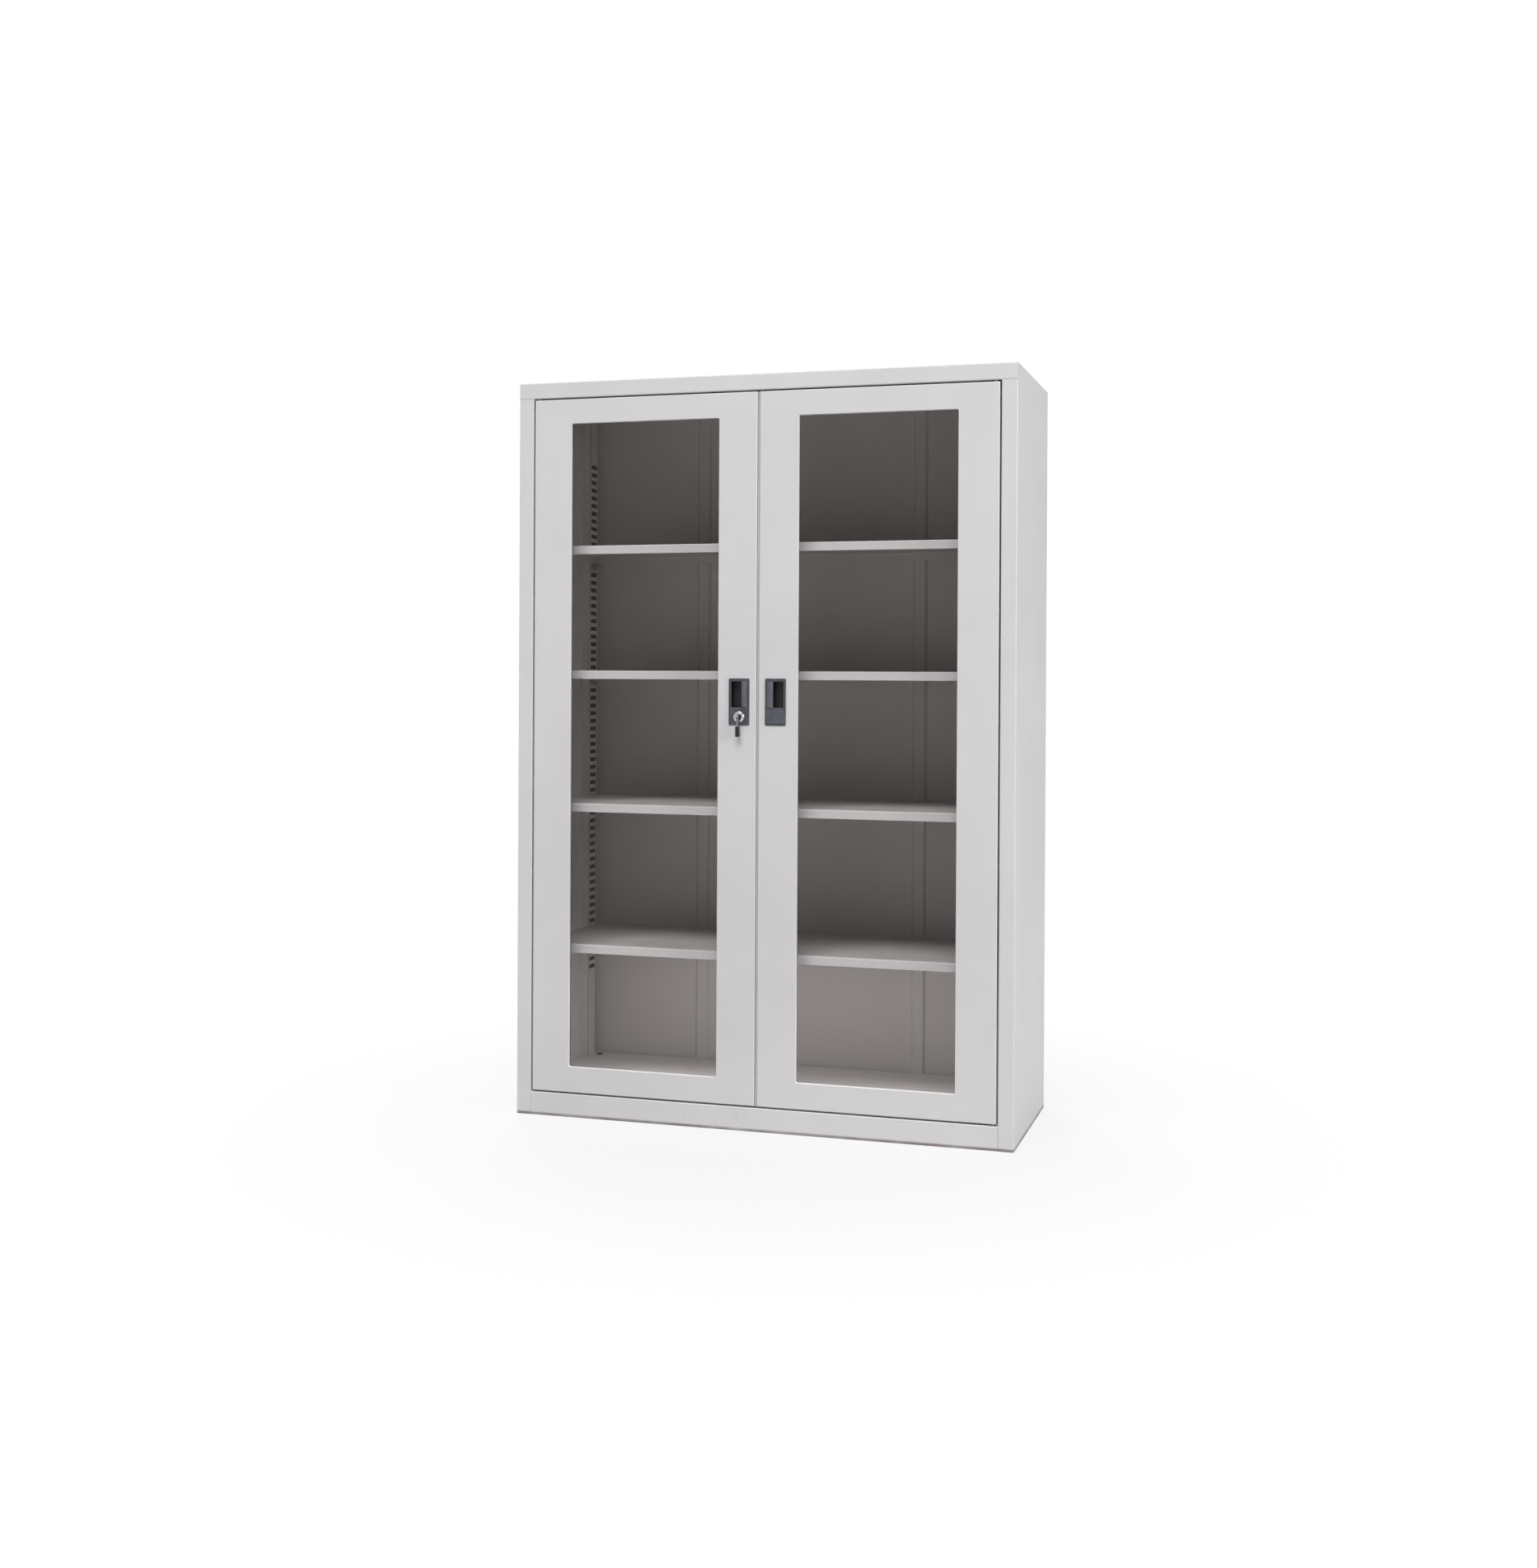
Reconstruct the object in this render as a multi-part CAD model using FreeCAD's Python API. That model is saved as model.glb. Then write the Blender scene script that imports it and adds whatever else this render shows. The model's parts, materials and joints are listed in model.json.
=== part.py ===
import FreeCAD, Part
import math
import os

from FreeCAD import Vector

os.makedirs("parts", exist_ok=True)

# Overall size in millimetres: floor at zero, front toward -Y, middle at X zero
WIDTH = 1200.0
DEPTH = 450.0
HEIGHT = 1750.0

# Folded sheet steel
SHEET = 1.0
BEND = 1.2
TOUCH = 0.01

# Front frame around the doors
STILE_WIDTH = 36.0
STILE_RETURN = 16.0
JAMB_DEPTH = 26.0
HEAD_HEIGHT = 37.0
KICK_HEIGHT = 55.0
STOP_DROP = 14.0
REAR_FLANGE = 20.0
BASE_FLANGE = 25.0
TOP_FLANGE = 20.0

# Floor and back
FLOOR_STEP = 8.0
FLOOR_FLANGE = 30.0
FLOOR_SIDE_FLANGE = 18.0
RIB_WIDTH = 36.0
RIB_DEPTH = 6.0
RIB_X = 285.0
REAR_RAIL_HEIGHT = 40.0
REAR_RAIL_CLEAR = 6.0

# Doors
DOOR_GAP = 4.0
MEETING_GAP = 6.0
DOOR_DEPTH = 22.0
DOOR_STILE = 93.0
DOOR_TOP_RAIL = 58.0
DOOR_BOTTOM_RAIL = 61.0
DOOR_FLANGE = 14.0
WINDOW_CORNER = 4.0

# Glazing
REBATE_DEPTH = 9.0
REBATE_SEAT = 11.0
GLASS_THICK = 4.0
GLASS_LAP = 9.0
SEAL_THICK = 1.5
SEAL_INSET = 1.5
BEAD_LAP = 11.0
BEAD_FOOT = 13.0
BEAD_INSET = 2.0
BEAD_CLEAR = 1.0
STUD_R = 2.0
STUD_LENGTH = 7.0
NUT_R = 4.0
NUT_THICK = 3.2
UPRIGHT_NUTS = 6
CROSS_NUTS = 3
nut_end_share = 0.06

# Pivots
PIVOT_INSET = 10.0
PIVOT_SETBACK = 6.0
PIN_R = 2.5
PIN_FIT = 0.05
PIN_HEAD_THICK = 3.0
PIN_END_CLEAR = 1.0
BUSH_R = 4.2
BUSH_COLLAR_R = 5.0
BUSH_LENGTH = 9.0
RUN_GAP = 0.3
HOLE_CLEAR = 0.1

# Recessed handles
HANDLE_WIDTH = 50.0
HANDLE_HEIGHT = 108.0
HANDLE_Z = 993.0
HANDLE_INSET = 16.0
HANDLE_CORNER = 3.0
HANDLE_EDGE = 0.8
PLATE_PROUD = 2.0
CUP_MARGIN = 3.0
CUP_DEPTH = 16.5
CUP_WALL = 1.5
CUP_CLEAR = 0.3
LIP_BACK = 2.0
MOUTH_WIDTH = 25.0
MOUTH_TOP = 7.0
MOUTH_RISE = 22.0
MOUTH_SIDE = 6.0
MOUTH_CORNER = 2.5
LOCK_BAY_DEPTH = 12.0
LOCK_RISE = 19.0
BOSS_WALL = 3.0
BOSS_DEPTH = 11.0

# Lock
BEZEL_R = 13.0
BEZEL_THICK = 2.5
BEZEL_EDGE = 1.0
BARREL_R = 8.5
BARREL_DEPTH = 15.0
LOCK_NUT_R = 11.0
LOCK_NUT_THICK = 2.5
PLUG_R = 6.0
PLUG_PROUD = 0.4
KEYWAY_DEPTH = 13.0
CAM_SCREW_R = 1.8
CAM_SCREW_HEAD_R = 3.0
CAM_SCREW_HEAD = 1.6
CAM_SCREW_LENGTH = 5.0

# Key with a folding bow
KEY_THICK = 2.0
KEY_HEIGHT = 7.0
KEY_CLEAR = 0.1
KEY_REACH = 6.6
KEY_EYE_R = 4.3
KEY_PIN_R = 1.5
CHEEK_R = 5.0
CHEEK_THICK = 1.2
CHEEK_CLEAR = 0.35
TANG_LENGTH = 30.0
TANG_WIDTH = 6.0
HEAD_TOP = 22.0
HEAD_LENGTH = 24.0
HEAD_WIDTH = 11.0
HEAD_THICK = 8.0
HEAD_CORNER = 2.0

# Crank and rods of the lock
CRANK_R = 12.0
CRANK_PIN_R = 2.0
CRANK_EDGE = 4.0
CAM_THICK = 2.0
REST_ANGLE = 45.0
ROD_WIDTH = 12.0
ROD_THICK = 2.0
ROD_GAP = 0.5
ROD_CLEAR = 0.3
ROD_END = 4.0
ROD_TIP_BACK = 0.5
SLOT_CLEAR = 0.2
PASS_CLEAR = 0.5
KEEPER_CLEAR = 1.5
GUIDE_WIDTH = 22.0
GUIDE_HEIGHT = 12.0
GUIDE_BACK = 1.2
GUIDE_NEAR = 54.0
GUIDE_FAR = 107.0
swing_share = 0.03

# Slotted strips, shelves and clips
STRIP_FACE = 48.0
STRIP_DEPTH = 24.0
STRIP_FLANGE = 10.0
STRIP_TOP_CLEAR = 24.0
FRONT_STRIP_Y = 95.0
REAR_STRIP_Y = 47.0
SLOT_WIDTH = 36.0
SLOT_HEIGHT = 10.0
SLOT_PITCH = 20.0
FIRST_SLOT_Z = 294.0
SLOT_TOP_CLEAR = 130.0
shelf_slot_shares = (0.8, 0.57, 0.323, 0.062)
SHELF_NAMES = ("top", "upper", "lower", "bottom")
SHELF_LIP = 20.0
SHELF_HEM = 12.0
SHELF_FRONT = 53.0
SHELF_REAR_CLEAR = 2.0
SHELF_SIDE_CLEAR = 1.0
CLIP_SHEET = 1.5
CLIP_WIDTH = 32.0
CLIP_RISE = 10.0
CLIP_LEDGE = 16.0
CLIP_HOOK = 7.0
CLIP_BACK = 1.5

# Catches and buffers
BUFFER_R = 3.5
BUFFER_SHARES = (0.1, 0.7)
CATCH_X = 130.0
CATCH_WIDTH = 46.0
CATCH_DEPTH = 14.0
CATCH_NOSE = 10.0
CATCH_CLEAR = 1.0
STRIKE_WIDTH = 40.0
STRIKE_HEIGHT = 22.0
STRIKE_THICK = 1.0

# Dust strip on the meeting edge
DUST_LEAF = 15.0
DUST_LIP = 5.0
DUST_SETBACK = 3.0

# Levelling feet
FOOT_X = 45.0
FOOT_FRONT_Y = 60.0
FOOT_REAR_Y = 40.0
FOOT_PAD_R = 15.0
FOOT_PAD_THICK = 7.0
FOOT_PAD_EDGE = 1.5
FOOT_SCREW_R = 5.0
FOOT_SCREW_TOP = 50.0
FOOT_SLOT_WIDTH = 1.5
FOOT_SLOT_DEPTH = 2.5
FOOT_HOLE_R = 6.0
CAP_R = 8.0
CAP_THICK = 3.0
CAP_EDGE = 1.5
CAP_STEM = 4.0
CAP_RIDGE = 1.5
BRACKET_THICK = 3.0
BRACKET_Z = 30.0
BRACKET_LEG = 28.0
BRACKET_WIDTH = 40.0
BRACKET_REACH = 62.0
WELD_NUT_R = 9.5
WELD_NUT_THICK = 8.0

# Planes that follow from the sizes above
HALF = WIDTH / 2
FRONT = -DEPTH / 2
BACK = DEPTH / 2
SKIN = HALF - SHEET
OPENING_X = HALF - STILE_WIDTH
HEAD_Z = HEIGHT - HEAD_HEIGHT
TOP_UNDER = HEIGHT - SHEET
STOP_Y = FRONT + JAMB_DEPTH
FLOOR_Z = KICK_HEIGHT + FLOOR_STEP
BACK_FACE = BACK - SHEET
FLOOR_REAR = BACK_FACE - SHEET - RIB_DEPTH
DOOR_OUT = OPENING_X - DOOR_GAP
DOOR_IN = MEETING_GAP / 2
DOOR_LOW = KICK_HEIGHT + DOOR_GAP
DOOR_HIGH = HEAD_Z - DOOR_GAP
DOOR_REAR = FRONT + DOOR_DEPTH
WINDOW_OUT = DOOR_OUT - DOOR_STILE
WINDOW_IN = DOOR_IN + DOOR_STILE
WINDOW_LOW = DOOR_LOW + DOOR_BOTTOM_RAIL
WINDOW_HIGH = DOOR_HIGH - DOOR_TOP_RAIL
SEAT_Y = FRONT + REBATE_DEPTH
GLASS_Y = SEAT_Y + SEAL_THICK
SEAL_REAR = GLASS_Y + GLASS_THICK + SEAL_THICK
PIVOT_X = DOOR_OUT - PIVOT_INSET
PIVOT_Y = FRONT + PIVOT_SETBACK
PIN_HEAD_R = PIVOT_SETBACK - SHEET - BEND
HANDLE_X = DOOR_IN + HANDLE_INSET + HANDLE_WIDTH / 2
PLATE_FACE = FRONT - PLATE_PROUD
LOCK_X = -HANDLE_X
LOCK_Z = HANDLE_Z - HANDLE_HEIGHT / 2 + LOCK_RISE
PLUG_FACE = PLATE_FACE - BEZEL_THICK - PLUG_PROUD
BARREL_REAR = FRONT + BARREL_DEPTH
CAM_FACE = BARREL_REAR + RUN_GAP
CAM_REAR = CAM_FACE + CAM_THICK
ROD_FACE = CAM_REAR + ROD_GAP
ROD_REAR = ROD_FACE + ROD_THICK
CRANK_COS = math.cos(math.radians(REST_ANGLE))
CRANK_SIN = math.sin(math.radians(REST_ANGLE))
ROD_OFFSET = CRANK_R * (1 + CRANK_COS) / 2
KEY_PIVOT_Y = PLUG_FACE - KEY_REACH
STRIP_X = SKIN - STRIP_DEPTH
SHELF_HALF = STRIP_X - CLIP_SHEET - SHELF_SIDE_CLEAR
SHELF_FACE = FRONT + SHELF_FRONT
SHELF_REAR = FLOOR_REAR - SHELF_REAR_CLEAR
STRIP_LINES = (FRONT + FRONT_STRIP_Y, BACK - REAR_STRIP_Y)
STRIP_TOP = HEIGHT - STRIP_TOP_CLEAR
SLOT_STEPS = math.floor((STRIP_TOP - SLOT_TOP_CLEAR - FIRST_SLOT_Z) / SLOT_PITCH)
SHELF_SLOTS = [round(SLOT_STEPS * share) for share in shelf_slot_shares]


# Small builders
def span(a, b):
    return min(a, b), max(a, b)


def box(x, y, z):
    size = Vector(x[1] - x[0], y[1] - y[0], z[1] - z[0])
    return Part.makeBox(size.x, size.y, size.z, Vector(x[0], y[0], z[0]))


def rod_z(x, y, z, radius):
    return Part.makeCylinder(radius, z[1] - z[0], Vector(x, y, z[0]), Vector(0, 0, 1))


def rod_y(x, y, z, radius):
    return Part.makeCylinder(radius, y[1] - y[0], Vector(x, y[0], z), Vector(0, 1, 0))


def rod_x(x, y, z, radius):
    return Part.makeCylinder(radius, x[1] - x[0], Vector(x[0], y, z), Vector(1, 0, 0))


def hex_prism(base, direction, radius, length):
    sides = 6
    flat = Part.makePolygon(
        [
            Vector(radius * math.cos(math.tau * k / sides), radius * math.sin(math.tau * k / sides), 0)
            for k in range(sides + 1)
        ]
    )
    prism = Part.Face(flat).extrude(Vector(0, 0, length))
    prism.Placement = FreeCAD.Placement(base, FreeCAD.Rotation(Vector(0, 0, 1), direction))
    return prism


def mirrored(shape):
    return shape.mirror(Vector(0, 0, 0), Vector(1, 0, 0))


def group(shapes):
    return Part.makeCompound(shapes)


def save(name, shape):
    shape.exportStep("parts/" + name + ".step")


def edges_on(shape, axis, level):
    found = []
    for edge in shape.Edges:
        ends = [getattr(vertex.Point, axis) for vertex in edge.Vertexes]
        if max(abs(end - level) for end in ends) < TOUCH:
            found.append(edge)
    return found


def edges_along(shape, axis):
    found = []
    for edge in shape.Edges:
        ends = [vertex.Point for vertex in edge.Vertexes]
        if len(ends) == 2 and abs(getattr(ends[1] - ends[0], axis)) > edge.Length - TOUCH:
            found.append(edge)
    return found


def soft_prism(x, y, z, axis, radius):
    block = box(x, y, z)
    return block.makeFillet(radius, edges_along(block, axis))


# A folded section: an outer line with its bends, thickened to one side
def corner(before, point, after, radius):
    come = (point - before).normalize()
    leave = (after - point).normalize()
    turn = come.getAngle(leave)
    reach = radius * math.tan(turn / 2)
    toward = (leave - come).normalize()
    middle = point + toward * (radius / math.cos(turn / 2) - radius)
    return point - come * reach, middle, point + leave * reach


def bent_line(points, radii):
    edges = []
    at = points[0]
    for k in range(1, len(points) - 1):
        start, middle, end = corner(points[k - 1], points[k], points[k + 1], radii[k - 1])
        edges.append(Part.LineSegment(at, start).toShape())
        edges.append(Part.Arc(start, middle, end).toShape())
        at = end
    edges.append(Part.LineSegment(at, points[-1]).toShape())
    return edges


def folded(flat_points, side, thick, place, pull):
    points = [Vector(u, v, 0) for u, v in flat_points]
    ways = [(b - a).normalize() for a, b in zip(points, points[1:])]
    normals = [Vector(-way.y, way.x, 0) * side for way in ways]
    inner = [points[0] + normals[0] * thick]
    outer_radii = []
    inner_radii = []
    for k in range(1, len(points) - 1):
        both = normals[k - 1] + normals[k]
        inner.append(points[k] + both * (thick / (1 + normals[k - 1].dot(normals[k]))))
        turn = ways[k - 1].cross(ways[k]).z * side
        outer_radii.append(BEND + thick if turn > 0 else BEND)
        inner_radii.append(BEND if turn > 0 else BEND + thick)
    inner.append(points[-1] + normals[-1] * thick)
    edges = bent_line(points, outer_radii)
    edges.append(Part.LineSegment(points[-1], inner[-1]).toShape())
    edges += bent_line(inner[::-1], inner_radii[::-1])
    edges.append(Part.LineSegment(inner[0], points[0]).toShape())
    face = Part.Face(Part.Wire(edges))
    face.Placement = place
    return face.extrude(pull)


PLAN = FreeCAD.Placement()
PROFILE = FreeCAD.Placement(FreeCAD.Matrix(0, 0, 1, 0, 1, 0, 0, 0, 0, 1, 0, 0, 0, 0, 0, 1))


def plan_fold(points, side, z, thick=SHEET):
    shape = folded(points, side, thick, PLAN, Vector(0, 0, z[1] - z[0]))
    shape.translate(Vector(0, 0, z[0]))
    return shape


def profile_fold(points, side, x, thick=SHEET):
    shape = folded(points, side, thick, PROFILE, Vector(x[1] - x[0], 0, 0))
    shape.translate(Vector(x[0], 0, 0))
    return shape


# Side panels: skin, front stile box, rear flange and floor flange
def side_panel():
    line = [
        (-HALF + REAR_FLANGE, BACK),
        (-HALF, BACK),
        (-HALF, FRONT),
        (-OPENING_X, FRONT),
        (-OPENING_X, STOP_Y),
        (-OPENING_X - STILE_RETURN, STOP_Y),
    ]
    panel = plan_fold(line, 1, (0, TOP_UNDER))
    fascia_room = box((-HALF, -OPENING_X + SHEET), (FRONT, FRONT + BEND + SHEET), (HEAD_Z, HEIGHT))
    stile_room = box((-SKIN, -OPENING_X + SHEET), (FRONT, STOP_Y + SHEET), (HEAD_Z, HEIGHT))
    panel = panel.cut(fascia_room).cut(stile_room)
    foot = box((-SKIN, -HALF + BASE_FLANGE), (STOP_Y, BACK - BASE_FLANGE - SHEET), (0, SHEET))
    return panel.fuse(foot).removeSplitter()


left_side = side_panel()
save("left_side_panel", left_side)
save("right_side_panel", mirrored(left_side))


# Pivot, rod and screw places shared by several pieces
def both_sides(shape):
    return [shape, mirrored(shape)]


def upper_rod_hole(z, clear):
    middle = LOCK_X + ROD_OFFSET
    wide = ROD_WIDTH / 2 + clear
    return box((middle - wide, middle + wide), (ROD_FACE - clear, ROD_REAR + clear), z)


def lower_rod_hole(z, clear):
    middle = LOCK_X - ROD_OFFSET
    wide = ROD_WIDTH / 2 + clear
    return box((middle - wide, middle + wide), (ROD_FACE - clear, ROD_REAR + clear), z)


# Top panel: fascia, door head, door stop, top skin and flanges
head_line = [
    (STOP_Y, HEAD_Z - STOP_DROP),
    (STOP_Y, HEAD_Z),
    (FRONT, HEAD_Z),
    (FRONT, HEIGHT),
    (BACK, HEIGHT),
    (BACK, HEIGHT - TOP_FLANGE),
]
top = profile_fold(head_line, -1, (-HALF, HALF))
below = (HEAD_Z - STOP_DROP, TOP_UNDER)
skin_room = box((-HALF, -SKIN), (FRONT + BEND + SHEET, BACK), below)
flange_room = box((-HALF, -HALF + REAR_FLANGE), (BACK_FACE - BEND, BACK), below)
stop_room = box((-HALF, -OPENING_X), (STOP_Y - BEND, STOP_Y + SHEET), (below[0], HEAD_Z))
top = top.cut(both_sides(skin_room) + both_sides(flange_room) + both_sides(stop_room))
flange_y = (STOP_Y + JAMB_DEPTH, BACK_FACE - SHEET - BEND)
side_flange = box((-SKIN, -SKIN + SHEET), flange_y, (HEIGHT - TOP_FLANGE, TOP_UNDER))
top = top.fuse(both_sides(side_flange)).removeSplitter()
head_skin = (HEAD_Z - RUN_GAP, HEAD_Z + SHEET + RUN_GAP)
top_holes = both_sides(rod_z(-PIVOT_X, PIVOT_Y, head_skin, BUSH_R))
top_holes.append(upper_rod_hole(head_skin, KEEPER_CLEAR))
save("top_panel", top.cut(top_holes))

# Kick plate under the doors
kick_line = [
    (FRONT + BASE_FLANGE, 0),
    (FRONT, 0),
    (FRONT, KICK_HEIGHT),
    (STOP_Y, KICK_HEIGHT),
]
kick = profile_fold(kick_line, -1, (-OPENING_X, OPENING_X))
kick_skin = (KICK_HEIGHT - SHEET - RUN_GAP, KICK_HEIGHT + RUN_GAP)
kick_holes = both_sides(rod_z(-PIVOT_X, PIVOT_Y, kick_skin, BUSH_R))
kick_holes.append(lower_rod_hole(kick_skin, KEEPER_CLEAR))
save("kick_plate", kick.cut(kick_holes))

# Floor panel with holes over the levelling screws
FOOT_PLACES = (
    ("front_left", -HALF + FOOT_X, FRONT + FOOT_FRONT_Y),
    ("front_right", HALF - FOOT_X, FRONT + FOOT_FRONT_Y),
    ("rear_left", -HALF + FOOT_X, BACK - FOOT_REAR_Y),
    ("rear_right", HALF - FOOT_X, BACK - FOOT_REAR_Y),
)
floor_line = [
    (STOP_Y, FLOOR_Z - FLOOR_FLANGE),
    (STOP_Y, FLOOR_Z),
    (FLOOR_REAR, FLOOR_Z),
    (FLOOR_REAR, FLOOR_Z - FLOOR_FLANGE),
]
floor = profile_fold(floor_line, -1, (-SKIN, SKIN))
floor_edge = (STOP_Y + BASE_FLANGE, FLOOR_REAR - BASE_FLANGE)
floor_side = box((-SKIN, -SKIN + SHEET), floor_edge, (FLOOR_Z - FLOOR_SIDE_FLANGE, FLOOR_Z - SHEET))
floor = floor.fuse(both_sides(floor_side)).removeSplitter()
floor_skin = (FLOOR_Z - SHEET - RUN_GAP, FLOOR_Z + RUN_GAP)
floor = floor.cut([rod_z(x, y, floor_skin, FOOT_HOLE_R) for name, x, y in FOOT_PLACES])
save("floor_panel", floor)

# Back panel with two pressed ribs, and the rail that carries it at the floor
rib = RIB_WIDTH / 2
back_half = SKIN - BEND
back_line = [(-back_half, BACK_FACE)]
for middle in (-RIB_X, RIB_X):
    back_line.append((middle - rib, BACK_FACE))
    back_line.append((middle - rib + RIB_DEPTH, BACK_FACE - RIB_DEPTH))
    back_line.append((middle + rib - RIB_DEPTH, BACK_FACE - RIB_DEPTH))
    back_line.append((middle + rib, BACK_FACE))
back_line.append((back_half, BACK_FACE))
save("back_panel", plan_fold(back_line, -1, (SHEET + BEND, TOP_UNDER - BEND)))

rail_half = HALF - BASE_FLANGE - REAR_RAIL_CLEAR
rail_line = [(BACK - BASE_FLANGE, 0), (BACK, 0), (BACK, REAR_RAIL_HEIGHT)]
save("rear_base_rail", profile_fold(rail_line, 1, (-rail_half, rail_half)))


# Slotted shelf strips welded to the side skins
def slot_z(number):
    return FIRST_SLOT_Z + number * SLOT_PITCH


def shelf_strip(middle):
    face = STRIP_FACE / 2
    line = [
        (-SKIN + SHEET, middle - face - STRIP_FLANGE),
        (-SKIN + SHEET, middle - face),
        (-STRIP_X, middle - face),
        (-STRIP_X, middle + face),
        (-SKIN + SHEET, middle + face),
        (-SKIN + SHEET, middle + face + STRIP_FLANGE),
    ]
    strip = plan_fold(line, 1, (FLOOR_Z, STRIP_TOP))
    cuts = []
    for number in range(SLOT_STEPS + 1):
        low = slot_z(number) - SLOT_HEIGHT / 2
        wide = span(middle - SLOT_WIDTH / 2, middle + SLOT_WIDTH / 2)
        through = span(-STRIP_X - SHEET - RUN_GAP, -STRIP_X + RUN_GAP)
        cuts.append(box(through, wide, (low, low + SLOT_HEIGHT)))
    return strip.cut(group(cuts))


for place, middle in zip(("front", "rear"), STRIP_LINES):
    strip = shelf_strip(middle)
    save("left_" + place + "_shelf_strip", strip)
    save("right_" + place + "_shelf_strip", mirrored(strip))


# Shelves: a pan with a hemmed front lip, on four hooked clips
def shelf_pan(top_z):
    wide = (-SHELF_HALF, SHELF_HALF)
    tall = (top_z - SHELF_LIP, top_z)
    pan = box(wide, (SHELF_FACE, SHELF_REAR), tall)
    pan = pan.makeFillet(BEND + SHEET, edges_on(pan, "z", top_z))
    room = box(
        (-SHELF_HALF + SHEET, SHELF_HALF - SHEET),
        (SHELF_FACE + SHEET, SHELF_REAR - SHEET),
        (tall[0] + SHEET, top_z - SHEET),
    )
    room = room.makeFillet(BEND, edges_on(room, "z", top_z - SHEET))
    mouth = box(
        (-SHELF_HALF + SHEET, SHELF_HALF - SHEET),
        (SHELF_FACE + SHELF_HEM, SHELF_REAR - SHEET),
        (tall[0], tall[0] + SHEET),
    )
    return pan.cut(room).cut(mouth)


def shelf_clip(middle, slot):
    face = -STRIP_X
    behind = face - SHEET - CLIP_BACK - CLIP_SHEET
    low = slot_z(slot) - CLIP_SHEET / 2
    ledge_top = slot_z(slot) + CLIP_RISE
    hook = box(span(behind, behind + CLIP_SHEET), span(0, CLIP_WIDTH), (low - CLIP_HOOK, low + CLIP_SHEET))
    tongue = box((behind, face + CLIP_SHEET), (0, CLIP_WIDTH), (low, low + CLIP_SHEET))
    leg = box((face, face + CLIP_SHEET), (0, CLIP_WIDTH), (low, ledge_top))
    ledge = box((face, face + CLIP_LEDGE), (0, CLIP_WIDTH), (ledge_top - CLIP_SHEET, ledge_top))
    clip = hook.fuse([tongue, leg, ledge]).removeSplitter()
    clip.translate(Vector(0, middle - CLIP_WIDTH / 2, 0))
    return clip


for name, slot in zip(SHELF_NAMES, SHELF_SLOTS):
    save(name + "_shelf", shelf_pan(slot_z(slot) + CLIP_RISE + SHELF_LIP))
    clips = []
    for middle in STRIP_LINES:
        clips += both_sides(shelf_clip(middle, slot))
    save(name + "_shelf_clips", group(clips))


# Door frames: a pan with a folded window and a glazing rebate
def window_prism(grow, y, radius):
    return soft_prism(
        (-WINDOW_OUT - grow, -WINDOW_IN + grow),
        y,
        (WINDOW_LOW - grow, WINDOW_HIGH + grow),
        "y",
        radius,
    )


def cup_opening(grow):
    half = HANDLE_WIDTH / 2 - CUP_MARGIN + grow
    tall = HANDLE_HEIGHT / 2 - CUP_MARGIN + grow
    return (-HANDLE_X - half, -HANDLE_X + half), (HANDLE_Z - tall, HANDLE_Z + tall)


def door_pan():
    x = (-DOOR_OUT, -DOOR_IN)
    z = (DOOR_LOW, DOOR_HIGH)
    pan = box(x, (FRONT, DOOR_REAR), z)
    pan = pan.makeFillet(BEND + SHEET, edges_on(pan, "y", FRONT))
    room = box(
        (x[0] + SHEET, x[1] - SHEET),
        (FRONT + SHEET, DOOR_REAR - SHEET),
        (z[0] + SHEET, z[1] - SHEET),
    )
    room = room.makeFillet(BEND, edges_on(room, "y", FRONT + SHEET))
    mouth = box(
        (x[0] + DOOR_FLANGE, x[1] - DOOR_FLANGE),
        (DOOR_REAR - SHEET, DOOR_REAR),
        (z[0] + DOOR_FLANGE, z[1] - DOOR_FLANGE),
    )
    pan = pan.cut(room).cut(mouth)
    tube = window_prism(SHEET, (FRONT, SEAT_Y), WINDOW_CORNER + SHEET)
    seat = window_prism(REBATE_SEAT, (SEAT_Y - SHEET, SEAT_Y), WINDOW_CORNER + REBATE_SEAT)
    hole = window_prism(0, (FRONT, SEAT_Y), WINDOW_CORNER)
    pan = pan.fuse([tube, seat]).removeSplitter().cut(hole)
    lines = [
        edge
        for edge in edges_on(pan, "y", FRONT)
        if edge.BoundBox.XMin > -WINDOW_OUT - SHEET and edge.BoundBox.XMax < -WINDOW_IN + SHEET
    ]
    pan = pan.makeFillet(BEND, lines)
    cup_x, cup_z = cup_opening(CUP_CLEAR)
    cup_hole = box(cup_x, (FRONT, FRONT + SHEET), cup_z)
    pins = [
        rod_z(-PIVOT_X, PIVOT_Y, (DOOR_LOW, DOOR_LOW + SHEET), PIN_R + HOLE_CLEAR),
        rod_z(-PIVOT_X, PIVOT_Y, (DOOR_HIGH - SHEET, DOOR_HIGH), PIN_R + HOLE_CLEAR),
    ]
    return pan.cut([cup_hole] + pins)


pan = door_pan()
rod_passes = [
    upper_rod_hole((DOOR_HIGH - SHEET, DOOR_HIGH), PASS_CLEAR),
    lower_rod_hole((DOOR_LOW, DOOR_LOW + SHEET), PASS_CLEAR),
]
save("left_door_frame", pan.cut(rod_passes))
save("right_door_frame", mirrored(pan))

# Glass, its rubber channel and the beads that hold it
glass = window_prism(GLASS_LAP, (GLASS_Y, GLASS_Y + GLASS_THICK), WINDOW_CORNER)
seal = window_prism(GLASS_LAP + SEAL_THICK, (SEAT_Y, SEAL_REAR), WINDOW_CORNER)
seal = seal.cut(window_prism(SEAL_INSET, (SEAT_Y, SEAL_REAR), WINDOW_CORNER)).cut(glass)


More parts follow.
